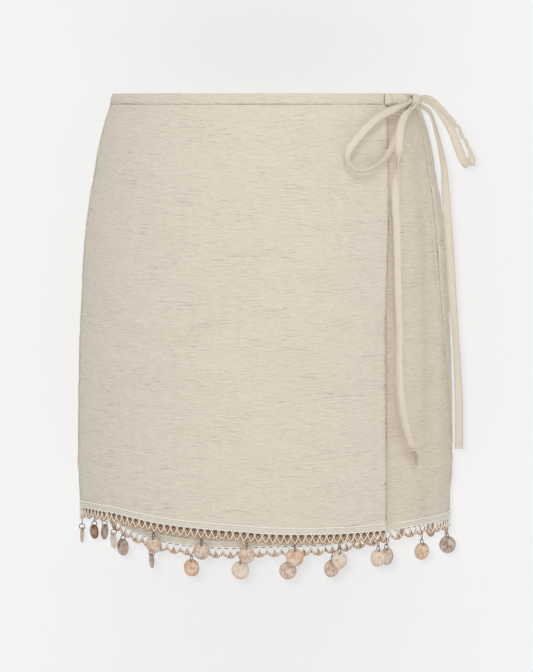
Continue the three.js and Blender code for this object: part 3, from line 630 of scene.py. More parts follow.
class Look:
    """A material under construction."""

    def __init__(self, name, roughness, **sockets):
        self.material = bpy.data.materials.new(name)
        self.material.use_nodes = True
        self.tree = self.material.node_tree
        self.shader = self.tree.nodes["Principled BSDF"]
        self.shader.inputs["Roughness"].default_value = roughness
        for socket, value in sockets.items():
            self.shader.inputs[socket.replace("_", " ")].default_value = value

    def node(self, kind, settings=None, **inputs):
        made = self.tree.nodes.new(kind)
        for key, value in (settings or {}).items():
            setattr(made, key, value)
        for key, value in inputs.items():
            socket = made.inputs[key.replace("_", " ")]
            if isinstance(value, bpy.types.NodeSocket):
                self.tree.links.new(value, socket)
            else:
                socket.default_value = value
        return made

    def spots(self, scale):
        """The UV map, scaled by (across, along)."""
        uv = self.node("ShaderNodeUVMap", {"uv_map": "cloth"})
        made = self.node("ShaderNodeMapping", Vector=uv.outputs[0], Scale=(*scale, 1.0))
        return made.outputs[0]

    def noise(self, vector, scale=1.0, detail=2.0, rough=0.5):
        made = self.node(
            "ShaderNodeTexNoise", Vector=vector, Scale=scale, Detail=detail, Roughness=rough
        )
        return made.outputs["Factor" if "Factor" in made.outputs else "Fac"]

    def ramp(self, factor, *stops):
        made = self.node("ShaderNodeValToRGB", Fac=factor)
        ends = made.color_ramp.elements
        while len(ends) < len(stops):
            ends.new(0.5)
        for end, (place, colour) in zip(ends, stops):
            end.position, end.color = place, colour
        return made.outputs["Color"]

    def mix(self, factor, low, high, blend="MIX"):
        made = self.node("ShaderNodeMix", {"data_type": "RGBA", "blend_type": blend})
        for socket, value in ((0, factor), (6, low), (7, high)):
            if isinstance(value, bpy.types.NodeSocket):
                self.tree.links.new(value, made.inputs[socket])
            else:
                made.inputs[socket].default_value = value
        return made.outputs[2]

    def maths(self, operation, first, second=0.0):
        made = self.node("ShaderNodeMath", {"operation": operation})
        for socket, value in ((0, first), (1, second)):
            if isinstance(value, bpy.types.NodeSocket):
                self.tree.links.new(value, made.inputs[socket])
            else:
                made.inputs[socket].default_value = value
        return made.outputs[0]

    def blend(self, first, share, second):
        """Two values added: the first's share, and the rest from the second."""
        return self.maths(
            "ADD", self.maths("MULTIPLY", first, share), self.maths("MULTIPLY", second, 1 - share)
        )

    def bump(self, height, distance, strength=1.0, under=None):
        made = self.node("ShaderNodeBump", Height=height, Distance=distance, Strength=strength)
        if under is not None:
            self.tree.links.new(under, made.inputs["Normal"])
        return made.outputs[0]

    def finish(self, colour=None, normal=None):
        for socket, value in (("Base Color", colour), ("Normal", normal)):
            if isinstance(value, bpy.types.NodeSocket):
                self.tree.links.new(value, self.shader.inputs[socket])
            elif value is not None:
                self.shader.inputs[socket].default_value = value
        return self.material


def crepe(name, light, dark, depth=1.0):
    """Crinkled cotton: uneven threads, thin creases and a crepe grain."""
    look = Look(name, 0.92, Sheen_Weight=0.08, Sheen_Roughness=0.6, Specular_IOR_Level=0.2)
    clouds = look.noise(look.spots((14, 40)), detail=2.0)
    slubs = look.noise(look.spots((110, 1500)), detail=2.0)
    warp = look.noise(look.spots((1400, 130)), detail=2.0)
    threads = look.blend(slubs, 0.65, warp)
    shade = look.blend(threads, 0.85, clouds)
    colour = look.ramp(shade, (0.34, dark), (0.64, light))
    folds = look.noise(look.spots((31, 165)), detail=1.0)
    ridges = look.ramp(folds, (0.4, BLACK), (0.49, WHITE), (0.58, BLACK))
    patches = look.ramp(look.noise(look.spots((26, 60)), detail=1.0), (0.42, BLACK), (0.6, WHITE))
    creases = look.maths("MULTIPLY", ridges, patches)
    small = look.noise(look.spots((70, 330)), detail=1.5)
    nicks = look.ramp(small, (0.42, BLACK), (0.5, WHITE), (0.58, BLACK))
    grain = look.noise(look.spots((300, 900)), detail=3.0, rough=0.6)
    normal = look.bump(creases, 0.00038 * depth, 1.0)
    normal = look.bump(nicks, 0.00027 * depth, 0.9, normal)
    normal = look.bump(grain, 0.0003, 0.4, normal)
    normal = look.bump(threads, 0.00015, 0.4, normal)
    return look.finish(colour, normal)


def knitted(name, light, dark):
    """Fine knitted tape: small slanting stitches in rows."""
    look = Look(name, 0.9, Sheen_Weight=0.1, Specular_IOR_Level=0.2)
    rows = look.node(
        "ShaderNodeTexWave",
        {"wave_type": "BANDS", "bands_direction": "DIAGONAL"},
        Vector=look.spots((1, 1)),
        Scale=330.0,
        Distortion=2.0,
        Detail=1.0,
    ).outputs["Fac"]
    grain = look.noise(look.spots((1100, 1100)), detail=2.0)
    shade = look.blend(rows, 0.5, grain)
    colour = look.ramp(shade, (0.2, dark), (0.75, light))
    return look.finish(colour, look.bump(shade, 0.0003, 0.7))


def yarn(name, light, dark, fuzz=0.6):
    """Spun yarn: fibres that wind round it, in uneven tones."""
    look = Look(name, 0.95, Sheen_Weight=0.2, Specular_IOR_Level=0.15)
    fibres = look.noise(look.spots((900, 900)), detail=3.0, rough=0.7)
    patches = look.noise(look.spots((180, 180)), detail=2.0)
    shade = look.blend(fibres, 0.5, patches)
    return look.finish(look.ramp(shade, (0.36, dark), (0.62, light)), look.bump(fibres, 0.0002, fuzz))


def shell_look(name, pale, middle, deep, milk=MILK):
    """Polished shell: a milky middle, a warmer rim, growth arcs, fine rays and clouds."""
    look = Look(name, 0.34, Coat_Weight=0.2, Coat_Roughness=0.2, Specular_IOR_Level=0.4)
    clouds = look.noise(look.spots((170, 210)), detail=5.0, rough=0.65)
    wisps = look.noise(look.spots((900, 150)), detail=3.0)
    place = look.node("ShaderNodeUVMap", {"uv_map": "disc"}).outputs[0]
    rim = look.node("ShaderNodeVectorMath", {"operation": "LENGTH"}).outputs["Value"]
    look.tree.links.new(place, rim.node.inputs[0])
    arcs = look.node(
        "ShaderNodeTexWave",
        {"wave_type": "RINGS", "rings_direction": "SPHERICAL"},
        Vector=place,
        Scale=4.6,
        Distortion=2.5,
        Detail=3.0,
        Detail_Scale=1.8,
    ).outputs["Fac"]
    shade = look.blend(clouds, 0.7, wisps)
    body = look.ramp(shade, (0.4, deep), (0.47, middle), (0.53, pale), (0.62, milk))
    colour = look.mix(look.maths("MULTIPLY", arcs, 0.3), body, deep)
    edge = look.ramp(rim, (0.62, BLACK), (1.0, WHITE))
    colour = look.mix(look.maths("MULTIPLY", edge, 0.55), colour, deep)
    return look.finish(colour, look.bump(arcs, 0.00015, 0.5))


def metal(name, light, dark):
    """Worn metal wire."""
    look = Look(name, 0.36, Metallic=1.0)
    wear = look.noise(look.spots((500, 500)), detail=3.0)
    return look.finish(look.ramp(wear, (0.35, dark), (0.65, light)), look.bump(wear, 0.0001, 0.4))


CLOTH = crepe("cloth_crepe", tone(227, 218, 204), tone(215, 206, 191))
# The under panel's crepe is a darker, warmer copy of the same cloth: painted shade for the panel beside and
# below the knot.
SHADED_UNDER_CLOTH = crepe("cloth_crepe_under_painted_shade", tone(226, 215, 199), tone(213, 202, 184))
TIE = crepe("tie_crepe", tone(232, 223, 207), tone(218, 207, 190), 0.35)
TAPE = knitted("tape_knit", tone(240, 233, 218), tone(208, 199, 182))
THREAD = yarn("sewing_thread", tone(233, 225, 210), tone(214, 203, 184))
WHITE_YARN = yarn("white_yarn", tone(255, 253, 247), tone(245, 240, 229))
TAN_YARN = yarn("tan_yarn", tone(224, 196, 164), tone(186, 150, 116))
BROWN_YARN = yarn("brown_yarn", tone(196, 158, 122), tone(142, 104, 74))
# Dark brown yarn: the real dark stitches, and on the overlap also painted shade in the cells' tops.
DARK_YARN = yarn("dark_yarn", tone(150, 120, 92), tone(102, 78, 58))
# Stitch thread for the ties and seams: partly the thread's own tone, and made darker than the tie cloth as
# painted shade along the shaded edges.
TIE_THREAD = yarn("tie_thread", tone(208, 190, 165), tone(182, 162, 136))
TUFT_THREAD = yarn("tuft_thread", tone(222, 208, 188), tone(186, 168, 146))
# Tan-brown thread: the tape's real dots, and the cords in seams and beside edges that are painted shadow
# lines.
TAN_DOT_AND_SHADOW_THREAD = yarn("tan_dots_and_painted_shadow", tone(178, 146, 112), tone(138, 108, 78))
RING_METAL = metal("ring_metal", tone(150, 142, 134), tone(82, 76, 71))
SHELLS = {
    "cream": shell_look("shell_cream", tone(238, 229, 216), tone(228, 212, 192), tone(206, 176, 146)),
    "orange": shell_look("shell_orange", tone(234, 214, 192), tone(220, 186, 154), tone(194, 146, 110)),
    "pink": shell_look("shell_pink", tone(230, 214, 200), tone(212, 188, 168), tone(182, 146, 120)),
    "grey": shell_look("shell_grey", tone(212, 196, 184), tone(188, 164, 146), tone(154, 120, 98)),
    "brown": shell_look(
        "shell_brown", tone(176, 128, 90), tone(144, 92, 56), tone(104, 60, 32), tone(196, 158, 126)
    ),
}


# Camera
def make_camera():
    lens = bpy.data.cameras.new("camera")
    lens.lens = CAMERA_LENS
    camera = bpy.data.objects.new("camera", lens)
    camera.location = CAMERA_PLACE
    camera.rotation_euler = (math.radians(90 - CAMERA_TILT), 0, 0)
    bpy.context.scene.collection.objects.link(camera)
    bpy.context.scene.camera = camera


# Ties
def route_curve(route, step):
    """The ribbon's centre line, width and across directions at even steps."""
    stops = np.stack([route["x"], route["y"], route["z"]], -1)
    across = np.stack([route["across_x"], route["across_y"], route["across_z"]], -1)
    knots = np.concatenate([[0], np.cumsum(np.linalg.norm(np.diff(stops, axis=0), axis=1) ** 0.5)])
    steps = 2000
    fine = np.linspace(0, knots[-1], steps)
    slopes = np.gradient(stops, knots, axis=0)
    row = np.clip(np.searchsorted(knots, fine, side="right") - 1, 0, len(knots) - 2)
    span = (knots[row + 1] - knots[row])[:, None]
    t = ((fine - knots[row]) / span[:, 0])[:, None]
    line = (
        stops[row] * (1 + 2 * t) * (1 - t) ** 2
        + stops[row + 1] * t * t * (3 - 2 * t)
        + span * t * (1 - t) * (slopes[row] * (1 - t) - slopes[row + 1] * t)
    )
    length = lengths_along(line)
    count = int(length[-1] / step)
    at = np.interp(np.linspace(0, length[-1], count + 1), length, np.arange(steps))
    path = np.stack([np.interp(at, np.arange(steps), column) for column in line.T], -1)
    stop_at = np.interp(at, np.arange(steps), fine)
    width = np.interp(stop_at, knots, route["width"])
    direction = np.stack([np.interp(stop_at, knots, column) for column in unit(across).T], -1)
    for _ in range(3):
        direction[1:-1] = (direction[:-2] + 2 * direction[1:-1] + direction[2:]) / 4
    along = tangents(path)
    direction = unit(direction - np.sum(direction * along, -1, keepdims=True) * along)
    return path, width, direction, np.linspace(0, length[-1], count + 1)


def ribbon_section():
    """Half width shares and half thickness shares round a folded, edge-stitched strip."""
    right = np.array((1.0, 0.96, 0.86, 0.78, 0.7, 0.45, 0.15))
    share = np.concatenate([right, -right[::-1]])
    height = np.array((0.35, 0.8, 0.95, 0.62, 0.9, 1.0, 1.0))
    height = np.concatenate([height, height[::-1]])
    return np.concatenate([share, share[::-1]]), np.concatenate([height, -height[::-1]])


def valley_rise(share):
    """Rise of a strip that is folded lengthwise: steep at its left edge, gentle at its right."""
    past = share - VALLEY_AT
    return np.where(past < 0, -VALLEY_STEEP * past, VALLEY_GENTLE * past)


def fray(name, path, across, seed):
    """A tie's torn end: a few turns of thread round it and a loose tuft below."""
    rng = np.random.default_rng(seed)
    side = across[-1]
    through = np.cross(unit(path[-1] - path[-3]), side)
    pile = Pile()
    around = np.linspace(0, 2 * np.pi, 25)[:-1]
    for turn in range(TUFT_TURNS):
        centre = path[-1] + TUFT_WAY * (0.0016 * turn + 0.0002) + through * 0.0006
        ring = side * (0.0031 - 0.0003 * turn) * np.cos(around)[:, None]
        ring = ring + through * 0.0017 * np.sin(around)[:, None]
        ring = centre + ring + TUFT_WAY * (0.0015 * np.cos(around + 0.6))[:, None]
        pile.sweep(round_loop(ring, 0.00062, 6, TUFT_WAY), closed=True)
    for _ in range(TUFT_THREADS):
        start = path[-1] + side * rng.uniform(-0.0021, 0.0021) + through * rng.uniform(-0.0006, 0.0009)
        drift = side * rng.normal(0.0004, 0.0036) + through * rng.normal(0.0004, 0.0006)
        t = np.linspace(0, 1, 6)[:, None]
        line = start + TUFT_WAY * rng.uniform(0.005, 0.0185) * t + drift * (t**2 - 0.5 * t)
        pile.sweep(round_rings(line, 0.00021, 5, side + 0.3 * through), look=1)
    pile.piece(name, [TIE, TUFT_THREAD], ROOT)


def ribbon(name, route, node, far_end, seed):
    """A tie end: a folded strip of crepe, stitched along both edges, gathered at the knot."""
    path, width, across, length = route_curve(route, RIBBON_STEP)
    through = np.cross(tangents(path), across)
    share, height = ribbon_section()
    thick = RIBBON_THICK * (1 + 1.3 * (1 - width / RIBBON_WIDTH))
    width = width * RIBBON_TRIM
    wobble = 0.0004 * noise(length / 0.024, 0 * length, seed)
    cup = 0.0005 + 0.0009 * noise(length / 0.05, 0 * length + 3, seed + 1)
    half = width / 2 * (1 + 0.05 * noise(length / 0.018, 0 * length + 5, seed + 2))
    flat_x = half[:, None] * share
    ripple = 0.0001 * noise(length[:, None] / 0.012 + 0 * share, flat_x / 0.003 + 9, seed + 3)
    pleat = 0.0005 * (1 - width / RIBBON_WIDTH / RIBBON_TRIM)[:, None] * np.cos(share * 9)
    flat_z = thick[:, None] / 2 * height + cup[:, None] * (share**2 - 0.4) + ripple + wobble[:, None]
    valley = np.clip((length / length[-1] - 0.6) / 0.15, 0, 1) * (far_end == "frayed")
    flat_z = flat_z + pleat + valley[:, None] * valley_rise(share)
    rings = path[:, None] + across[:, None] * flat_x[..., None] + through[:, None] * flat_z[..., None]
    spots = np.stack([length[:, None] + 0 * flat_x, flat_x + seed], -1)
    pile = Pile()
    pile.sweep(rings, spots)
    if far_end == "bare":
        end = slice(-8, -4)
        band = path[end, None] + across[end, None] * (flat_x * 1.06)[end, :, None]
        band = band + through[end, None] * (flat_z * 1.5)[end, :, None]
        pile.sweep(band, spots[end])
    made = pile.piece(name, [TIE], ROOT, [node])
    if far_end == "frayed":
        fray(name + "_fray", path, across, seed)
        far_end = "bare"
    # The edge stitches are darker than the ribbon: painted shade along its shaded edges.
    rows = Pile()
    for side in (1, -1):
        for edge in (RIBBON_ROW, -RIBBON_ROW):
            line = path + across * (half * edge)[:, None]
            lift = side * (thick / 2 * 0.72) + cup * (edge**2 - 0.4) + wobble
            lift = lift + valley * valley_rise(edge)
            stitch_row(rows, line + through * lift[:, None], through * side, *TIE_STITCH)
    rows.piece(name + "_stitches", [TIE_THREAD], ROOT)


# Sewing
def along_path(path, at, length):
    return np.stack([np.interp(at, length, column) for column in path.T], -1)


def stitch_row(pile, path, out, stitch, gap, radius):
    """Sewing stitches along a path, each a short thread that dips at its ends."""
    length = lengths_along(path)
    starts = np.arange(gap, length[-1] - stitch, stitch + gap)
    rise = np.array((-0.9, 0.35, 0.6, 0.35, -0.9)) * radius
    taper = np.array((0.5, 1.0, 1.0, 1.0, 0.5)) * radius
    for start in starts:
        at = start + np.linspace(0, stitch, 5)
        line, lift = along_path(path, at, length), unit(along_path(out, at, length))
        pile.sweep(round_rings(line + lift * rise[:, None], taper, 4, lift))


# Cloth
def panel_piece(
    name, panel, columns, rows, seed, node, free=(), knot_pull=(), cloth=CLOTH
):
    """One panel: crinkled crepe on the body's form, with turned free edges and pulled seams."""
    top = BAND_HEIGHT - 0.0006
    across, down = np.meshgrid(np.linspace(0, 1, columns + 1), np.linspace(0, 1, rows + 1))
    angle, drop = panel.spots(across, down, top)
    drop = drop + 0.0008 * down
    base = panel.place(angle, drop)
    u = arc_lengths(base, 1)
    width = u[:, -1:]
    lift = crinkle(u + seed, drop, seed)
    lift *= 0.35 + 0.65 * step_up(drop, top, 0.05)
    for side, gap in (("left", u), ("right", width - u)):
        pucker = np.cos(drop / 0.0011 + 5 * noise(drop / 0.02, 0 * drop + seed, seed + 8))
        if side in free:
            fold = 1 - step_up(gap, 0.0052, 0.0062)
            lift += 0.00045 * fold - 0.0006 * (1 - step_up(gap, 0, 0.0009))
            lift -= 0.0003 * np.exp(-(((gap - FREE_EDGE_ROW) / 0.0006) ** 2))
            lift += 0.00006 * pucker * np.exp(-(((gap - FREE_EDGE_ROW) / 0.002) ** 2))
        else:
            lift -= 0.0007 * (1 - step_up(gap, 0, 0.0016))
            lift += 0.00012 * pucker * np.exp(-gap / 0.006)
            for row in SEAM_ROWS:
                lift -= 0.00014 * np.exp(-(((gap - row) / 0.0006) ** 2))
    gathers = np.cos(u / 0.0016 + 4 * noise(u / 0.03, 0 * u + 2, seed + 9))
    lift += 0.00012 * gathers * np.exp(-(drop - top) / 0.006)
    hem_gap = panel.hem(angle) - drop
    wander = 3 * noise(u / 0.03, 0 * u + 4, seed + 10)
    lift += 0.00022 * np.cos(u / 0.0021 + wander) * np.exp(-np.abs(hem_gap) / 0.012)
    for spot in knot_pull:
        fan = (angle - spot) / (3 + 220 * (drop - top))
        lift += 0.0009 * np.exp(-(fan**2)) * np.exp(-(drop - top) / 0.03) * step_up(drop, top, 0.016)
    outer = panel.place(angle, drop, lift)
    inner = panel.place(angle, drop, lift - CLOTH_THICK)
    spots = np.stack([u + seed * 0.37, drop], -1)
    pile = Pile()
    pile.sweep(shell(outer, inner), shell(spots, spots))
    made = pile.piece(name, [cloth], ROOT, [node])


def seam_stitches(name, panel, offsets, side):
    """Rows of stitches beside a panel's edge."""
    drop = np.linspace(BAND_HEIGHT + 0.001, EDGE_HEM - 0.002, 260)
    edge = (panel.right if side > 0 else panel.left)(drop)
    pile = Pile()
    for offset in offsets:
        radius = np.linalg.norm(panel.place(edge + 0.5, drop) - panel.place(edge - 0.5, drop), axis=1)
        angle = edge - side * offset / radius
        line = panel.place(angle, drop, 0.00005)
        out = panel.place(angle, drop, 0.001) - panel.place(angle, drop, 0.0)
        stitch_row(pile, line, out, *SEAM_STITCH)
    pile.piece(name, [TIE_THREAD], ROOT)


def waistband():
    """A folded strip, stitched along its lower edge, from one wrap edge round to the other."""
    spread = BAND_END - (UNDER_EDGE - 360)
    count = 640
    turn = np.linspace(0, 1, count + 1)
    angle = UNDER_EDGE - 360 + turn * spread
    tucked = angle + 360 < 90
    angle = np.where(tucked, angle + 360, angle)
    down = np.array((0.0, 0.0, 0.1, 0.3, 0.5, 0.68, 0.8, 0.86, 0.92, 1.0, 1.0, 0.92, 0.7, 0.4, 0.1, 0.0))
    out = (-1.2, -0.35, 0.2, 0.42, 0.45, 0.4, 0.3, 0.05, 0.3, -0.1, -1.5, -1.9, -1.9, -1.9, -1.9, -1.8)
    grid_angle, grid_down = np.meshgrid(angle, down, indexing="ij")
    length = np.cumsum(np.full(count + 1, 0.00137))[:, None]
    wave = 0.00022 * noise(length / 0.03 + 0 * grid_down, grid_down * 0 + 1, SEED + 30)
    drop = grid_down * BAND_HEIGHT + wave
    lift = crinkle(length * 1.3 + 0 * drop, drop * 1.6, SEED + 31) * 0.45 + np.array(out) / 1000
    lift += 0.00008 * np.cos(length / 0.0012) * np.exp(-(((grid_down - 0.86) / 0.1) ** 2))
    outside = skin(grid_angle, drop, lift)
    inside = tucked_skin(grid_angle, drop, lift)
    rings = np.where(tucked[:, None, None], inside, outside)
    spots = np.stack([length + 0 * drop, drop], -1)
    pile = Pile()
    pile.sweep(rings, spots)
    pile.piece("waistband_strip", [CLOTH], ROOT, ["waistband"])
    pile = Pile()
    line = rings[:, 7] + 0.0001 * unit(rings[:, 7] - rings[:, 12])
    stitch_row(pile, line, rings[:, 7] - rings[:, 12], *BAND_STITCH)
    pile.piece("waistband_stitches", [THREAD], ROOT)


def painted_shadow_line(name, line, out, seed):
    """A thin tan-brown cord in a seam or along an edge, thicker in places: a painted shadow line for the
    thin shade there.
    """
    length = lengths_along(line)
    radius = 0.00021 + 0.0001 * noise(length / 0.04, 0 * length, seed)
    rings = round_rings(line, radius, 6, out)
    around = np.arange(6) * 0.0003
    pile = Pile()
    pile.sweep(rings, np.stack([around + 0 * length[:, None], length[:, None] + 0 * around], -1))
    pile.piece(name, [TAN_DOT_AND_SHADOW_THREAD], ROOT)


def painted_shadow_lines():
    """Painted shadow lines: cords under the waistband and beside the overlap's free edge, where thin shade
    falls.
    """
    angle = np.linspace(LEFT_SEAM - 190, BAND_END, 420)
    line = skin(angle, 0 * angle + BAND_HEIGHT + 0.0003, 0.0001 + 0.0005 * step_up(angle, 47, 48.5))
    painted_shadow_line("band_painted_shadow_line", line, line * (1, 1, 0), SEED + 33)
    drop = np.linspace(BAND_HEIGHT + 0.0005, EDGE_HEM - 0.001, 300)
    edge = free_edge_angle(drop) + 0.08
    line = skin(edge, drop, -0.0003 + 0 * drop)
    painted_shadow_line("free_edge_painted_shadow_line", line, line * (1, 1, 0), SEED + 34)


def keeper():
    """A short strip laid over the waistband's end and stitched across at both ends."""
    down = np.linspace(0, 1, 15)
    share = np.array((-1.0, -0.9, -0.72, -0.3, 0.3, 0.72, 0.9, 1.0))
    angle = KEEPER_AT + KEEPER_HALF * share
    drop = -0.0003 + 0.0107 * down
    grid_drop, grid_angle = np.meshgrid(drop, angle, indexing="ij")
    grid_angle = grid_angle - KEEPER_LEAN * grid_drop
    bulge = 0.0022 - 0.0009 * (2 * down - 1)[:, None] ** 8 - 0.0004 * np.abs(share) ** 6
    bulge = bulge + 0.0001 * noise(grid_drop / 0.003, grid_angle, SEED + 40)
    outer = skin(grid_angle, grid_drop, bulge)
    inner = skin(grid_angle, grid_drop, 0.0009 + 0 * bulge)
    spots = np.stack([grid_angle * 0.002, grid_drop], -1)
    pile = Pile()
    pile.sweep(shell(outer, inner), shell(spots, spots))
    pile.piece("keeper_strip", [TIE], ROOT, ["keeper"])
    pile = Pile()
    for drop_at in (0.0014, 0.0089):
        across = np.linspace(KEEPER_AT - 1.7, KEEPER_AT + 1.7, 12) - KEEPER_LEAN * drop_at
        line = skin(across, drop_at + 0 * across, 0.0021 + 0 * across)
        out = skin(across, drop_at + 0 * across, 0.003 + 0 * across) - line
        stitch_row(pile, line, out, *KEEPER_STITCH)
    pile.piece("keeper_stitches", [THREAD], ROOT)
    # Thin dark cords beside both long sides of the keeper: painted shadow lines where its raised edges
    # shade the waistband.
    for side, name in ((-1, "left"), (1, "right")):
        drop = np.linspace(0.0002, 0.0101, 30)
        line = skin(KEEPER_AT + 2.15 * side - KEEPER_LEAN * drop, drop, 0.0013 + 0 * drop)
        painted_shadow_line(f"keeper_{name}_line", line, line * (1, 1, 0), SEED + 44)


def tie_lead():
    """The tie between the waistband's end and the knot, drawn together in pleats."""
    across = np.linspace(0, 1, 30)
    angle = BAND_END + 0.15 + (66.9 - BAND_END - 0.15) * across
    rise = 0.0003 + 0.0019 * step_up(across, 0, 0.7)
    narrow = step_up(across, 0.2, 1)
    top, bottom = 0.0002 + 0.0027 * narrow, 0.0094 - 0.0013 * narrow
    share = np.linspace(0, 1, 19)
    grid_drop = top[:, None] + (bottom - top)[:, None] * share
    grid_angle = angle[:, None] + 0 * grid_drop
    pleats = 0.0004 * narrow[:, None] * np.cos(share * 19 + 2 * across[:, None])
    edge = -0.0005 * np.abs(2 * share - 1) ** 6
    rough = 0.00012 * noise(grid_angle / 2, grid_drop / 0.002, SEED + 41)
    lift = rise[:, None] + pleats + edge + rough
    outer = skin(grid_angle, grid_drop, lift)
    inner = skin(grid_angle, grid_drop, rise[:, None] - 0.0013 + 0 * lift)
    spots = np.stack([grid_angle * 0.002 + 0.4, grid_drop], -1)
    pile = Pile()
    pile.sweep(shell(outer, inner), shell(spots, spots))
    pile.piece("tie_lead_strip", [TIE], ROOT, ["tie_lead"])


def knot():
    """The bow's knot: gathered cloth with the tie's wrap drawn tight over it."""
    rows, columns = 33, 48
    down = np.linspace(0.02, np.pi - 0.02, rows)[:, None]
    turn = np.linspace(0, 2 * np.pi, columns, endpoint=False)[None]
    ball = np.stack([np.sin(down) * np.cos(turn), np.sin(down) * np.sin(turn), np.cos(down) + 0 * turn], -1)
    swell = 1 + 0.05 * np.cos(turn * 7 + 2 * np.cos(down)) * np.sin(down) + 0.05 * noise(
        turn * 2 + 0 * down, down * 3 + 0 * turn, SEED + 42
    )
    core = KNOT + ball * swell[..., None] * KNOT_SIZE * np.array((0.93, 0.9, 0.84))
    pile = Pile()
    pile.sweep(core, np.stack([turn * 0.004 + 0 * down, down * 0.005 + 0 * turn], -1))
    lean = np.radians(12)
    around = np.linspace(0, 2 * np.pi, 60, endpoint=False)
    outward = unit(np.array((0.36, -0.93, 0.0)))
    sideways = np.array((-outward[1], outward[0], 0.0))
    up = np.array((0, 0, 1.0)) * np.cos(lean) + sideways * np.sin(lean)
    ring = np.cos(around)[:, None] * up + np.sin(around)[:, None] * outward
    across = unit(np.cross(up, outward))
    share = np.array((1.0, 0.86, 0.66, 0.45, 0.22, 0.0, -0.22, -0.45, -0.66, -0.86, -1.0))
    height = np.array((0.0, 0.8, 0.25, 1.0, 0.4, 1.15, 0.4, 1.0, 0.3, 0.85, 0.0))
    half = 0.0041 + 0.0003 * np.cos(around * 2)
    radius = 1 / np.linalg.norm(ring / (KNOT_SIZE * np.array((0.98, 0.98, 0.97))), axis=1)
    flat = np.concatenate([share, share[::-1]])
    lift = np.concatenate([height * 0.0009, np.full(11, -0.0006)])
    shrink = np.sqrt(np.clip(1 - (flat * half[:, None] / 0.0078) ** 2, 0.3, 1))
    wrap = (
        KNOT
        + (-0.0009, -0.0004, 0)
        + across * (flat * half[:, None])[..., None]
        + ring[:, None] * (radius[:, None] * shrink + lift)[..., None]
    )
    pile.sweep(wrap, np.stack([flat * half[:, None], around[:, None] * 0.005 + 0 * flat], -1), closed=True)
    pile.piece("knot_wrap", [TIE], ROOT, ["tie_knot"])


# Lace trim
class Trim:
    """Places along a panel's hem: length along it, drop below it and height off the cloth."""

    def __init__(self, panel):
        self.panel = panel
        self.angles, self.lengths = panel.along_hem(1200)
        self.length = self.lengths[-1]
        self.scallops = round(self.length / LACE_PITCH)
        self.pitch = self.length / self.scallops

    def place(self, along, below, out):
        along, below, out = np.broadcast_arrays(along, below, out)
        angle = np.interp(along, self.lengths, self.angles)
        return self.panel.place(angle, self.panel.hem(angle) + below, out)

    def out(self, along):
        below = 0.008 + 0 * along
        return unit(self.place(along, below, 0.001) - self.place(along, below, 0.0))

    def keep(self, along):
        """Lengths kept between the trim's two ends."""
        return np.clip(along, LACE_ENDS, self.length - LACE_ENDS)

    def whole(self, step):
        """Lengths from end to end, about a step apart."""
        return np.linspace(LACE_ENDS, self.length - LACE_ENDS, int(self.length / step))

    def length_at(self, angle):
        return float(np.interp(angle, self.angles, self.lengths))


def tape(name, trim, seed):
    """Knitted tape sewn over the cloth's edge, with a chained edge above and below."""
    along = np.linspace(0, trim.length, int(trim.length / 0.00055))[:, None]
    below, out = np.array(TAPE_DROP) / 1000, np.array(TAPE_OUT) / 1000
    stitch = np.cos(along / 0.0011 * 2 * np.pi + below * 2600)
    front = (out > 0.2 / 1000).astype(float)
    long, deep = along + 0 * below, below + 0 * along
    lift = out + front * (0.00009 * stitch + 0.00012 * noise(long / 0.006, deep / 0.002, seed))
    wave = 0.00015 * noise(long / 0.014, 0 * long + 4, seed + 1)
    rings = trim.place(along, below + wave, lift)
    spots = np.stack([long, deep], -1)
    pile = Pile()
    pile.sweep(rings, spots)
    pile.piece(f"tape_{name}_knit", [TAPE], ROOT, [f"tape_{name}"])
    rows = Pile()
    ends = np.array((-0.0004, 0, 0, -0.0004))
    for row, height in TAPE_ROWS:
        for place in np.arange(0.0005, trim.length - 0.002, 0.0017):
            at = place + np.linspace(0, 0.0012, 4)
            drop_at = row + np.linspace(-0.0003, 0.0003, 4)
            thread(rows, trim, at, drop_at, height + ends, 0.00038, sides=4)
    whole = trim.whole(0.001)
    for row, height, radius in TAPE_CORDS:
        beads = radius * (1 + 0.22 * np.cos(whole / 0.0024 * 2 * np.pi))
        sway = 0.00012 * noise(whole / 0.006, 0 * whole, seed + 2)
        thread(rows, trim, whole, row + sway, height, beads)
    rows.piece(f"tape_{name}_stitches", [WHITE_YARN], ROOT)


def thread(pile, trim, along, below, out, radius, sides=6, look=0):
    """A round thread at places along a trim."""
    path = trim.place(along, below, out)
    rings = round_rings(path, radius, sides, trim.out(along))
    around = np.arange(sides) / sides * np.max(radius) * 6
    length = lengths_along(path)
    spots = np.stack([around + 0 * length[:, None], length[:, None] + 0 * around], -1)
    pile.sweep(rings, spots, look=look)


def scallop_drop(along, pitch):
    """Drop of the scalloped edge's middle below the hem."""
    lowest, rise, power = LACE_SHAPE
    share = np.abs(2 * (along / pitch - np.floor(along / pitch)) - 1)
    return lowest - rise * share**power


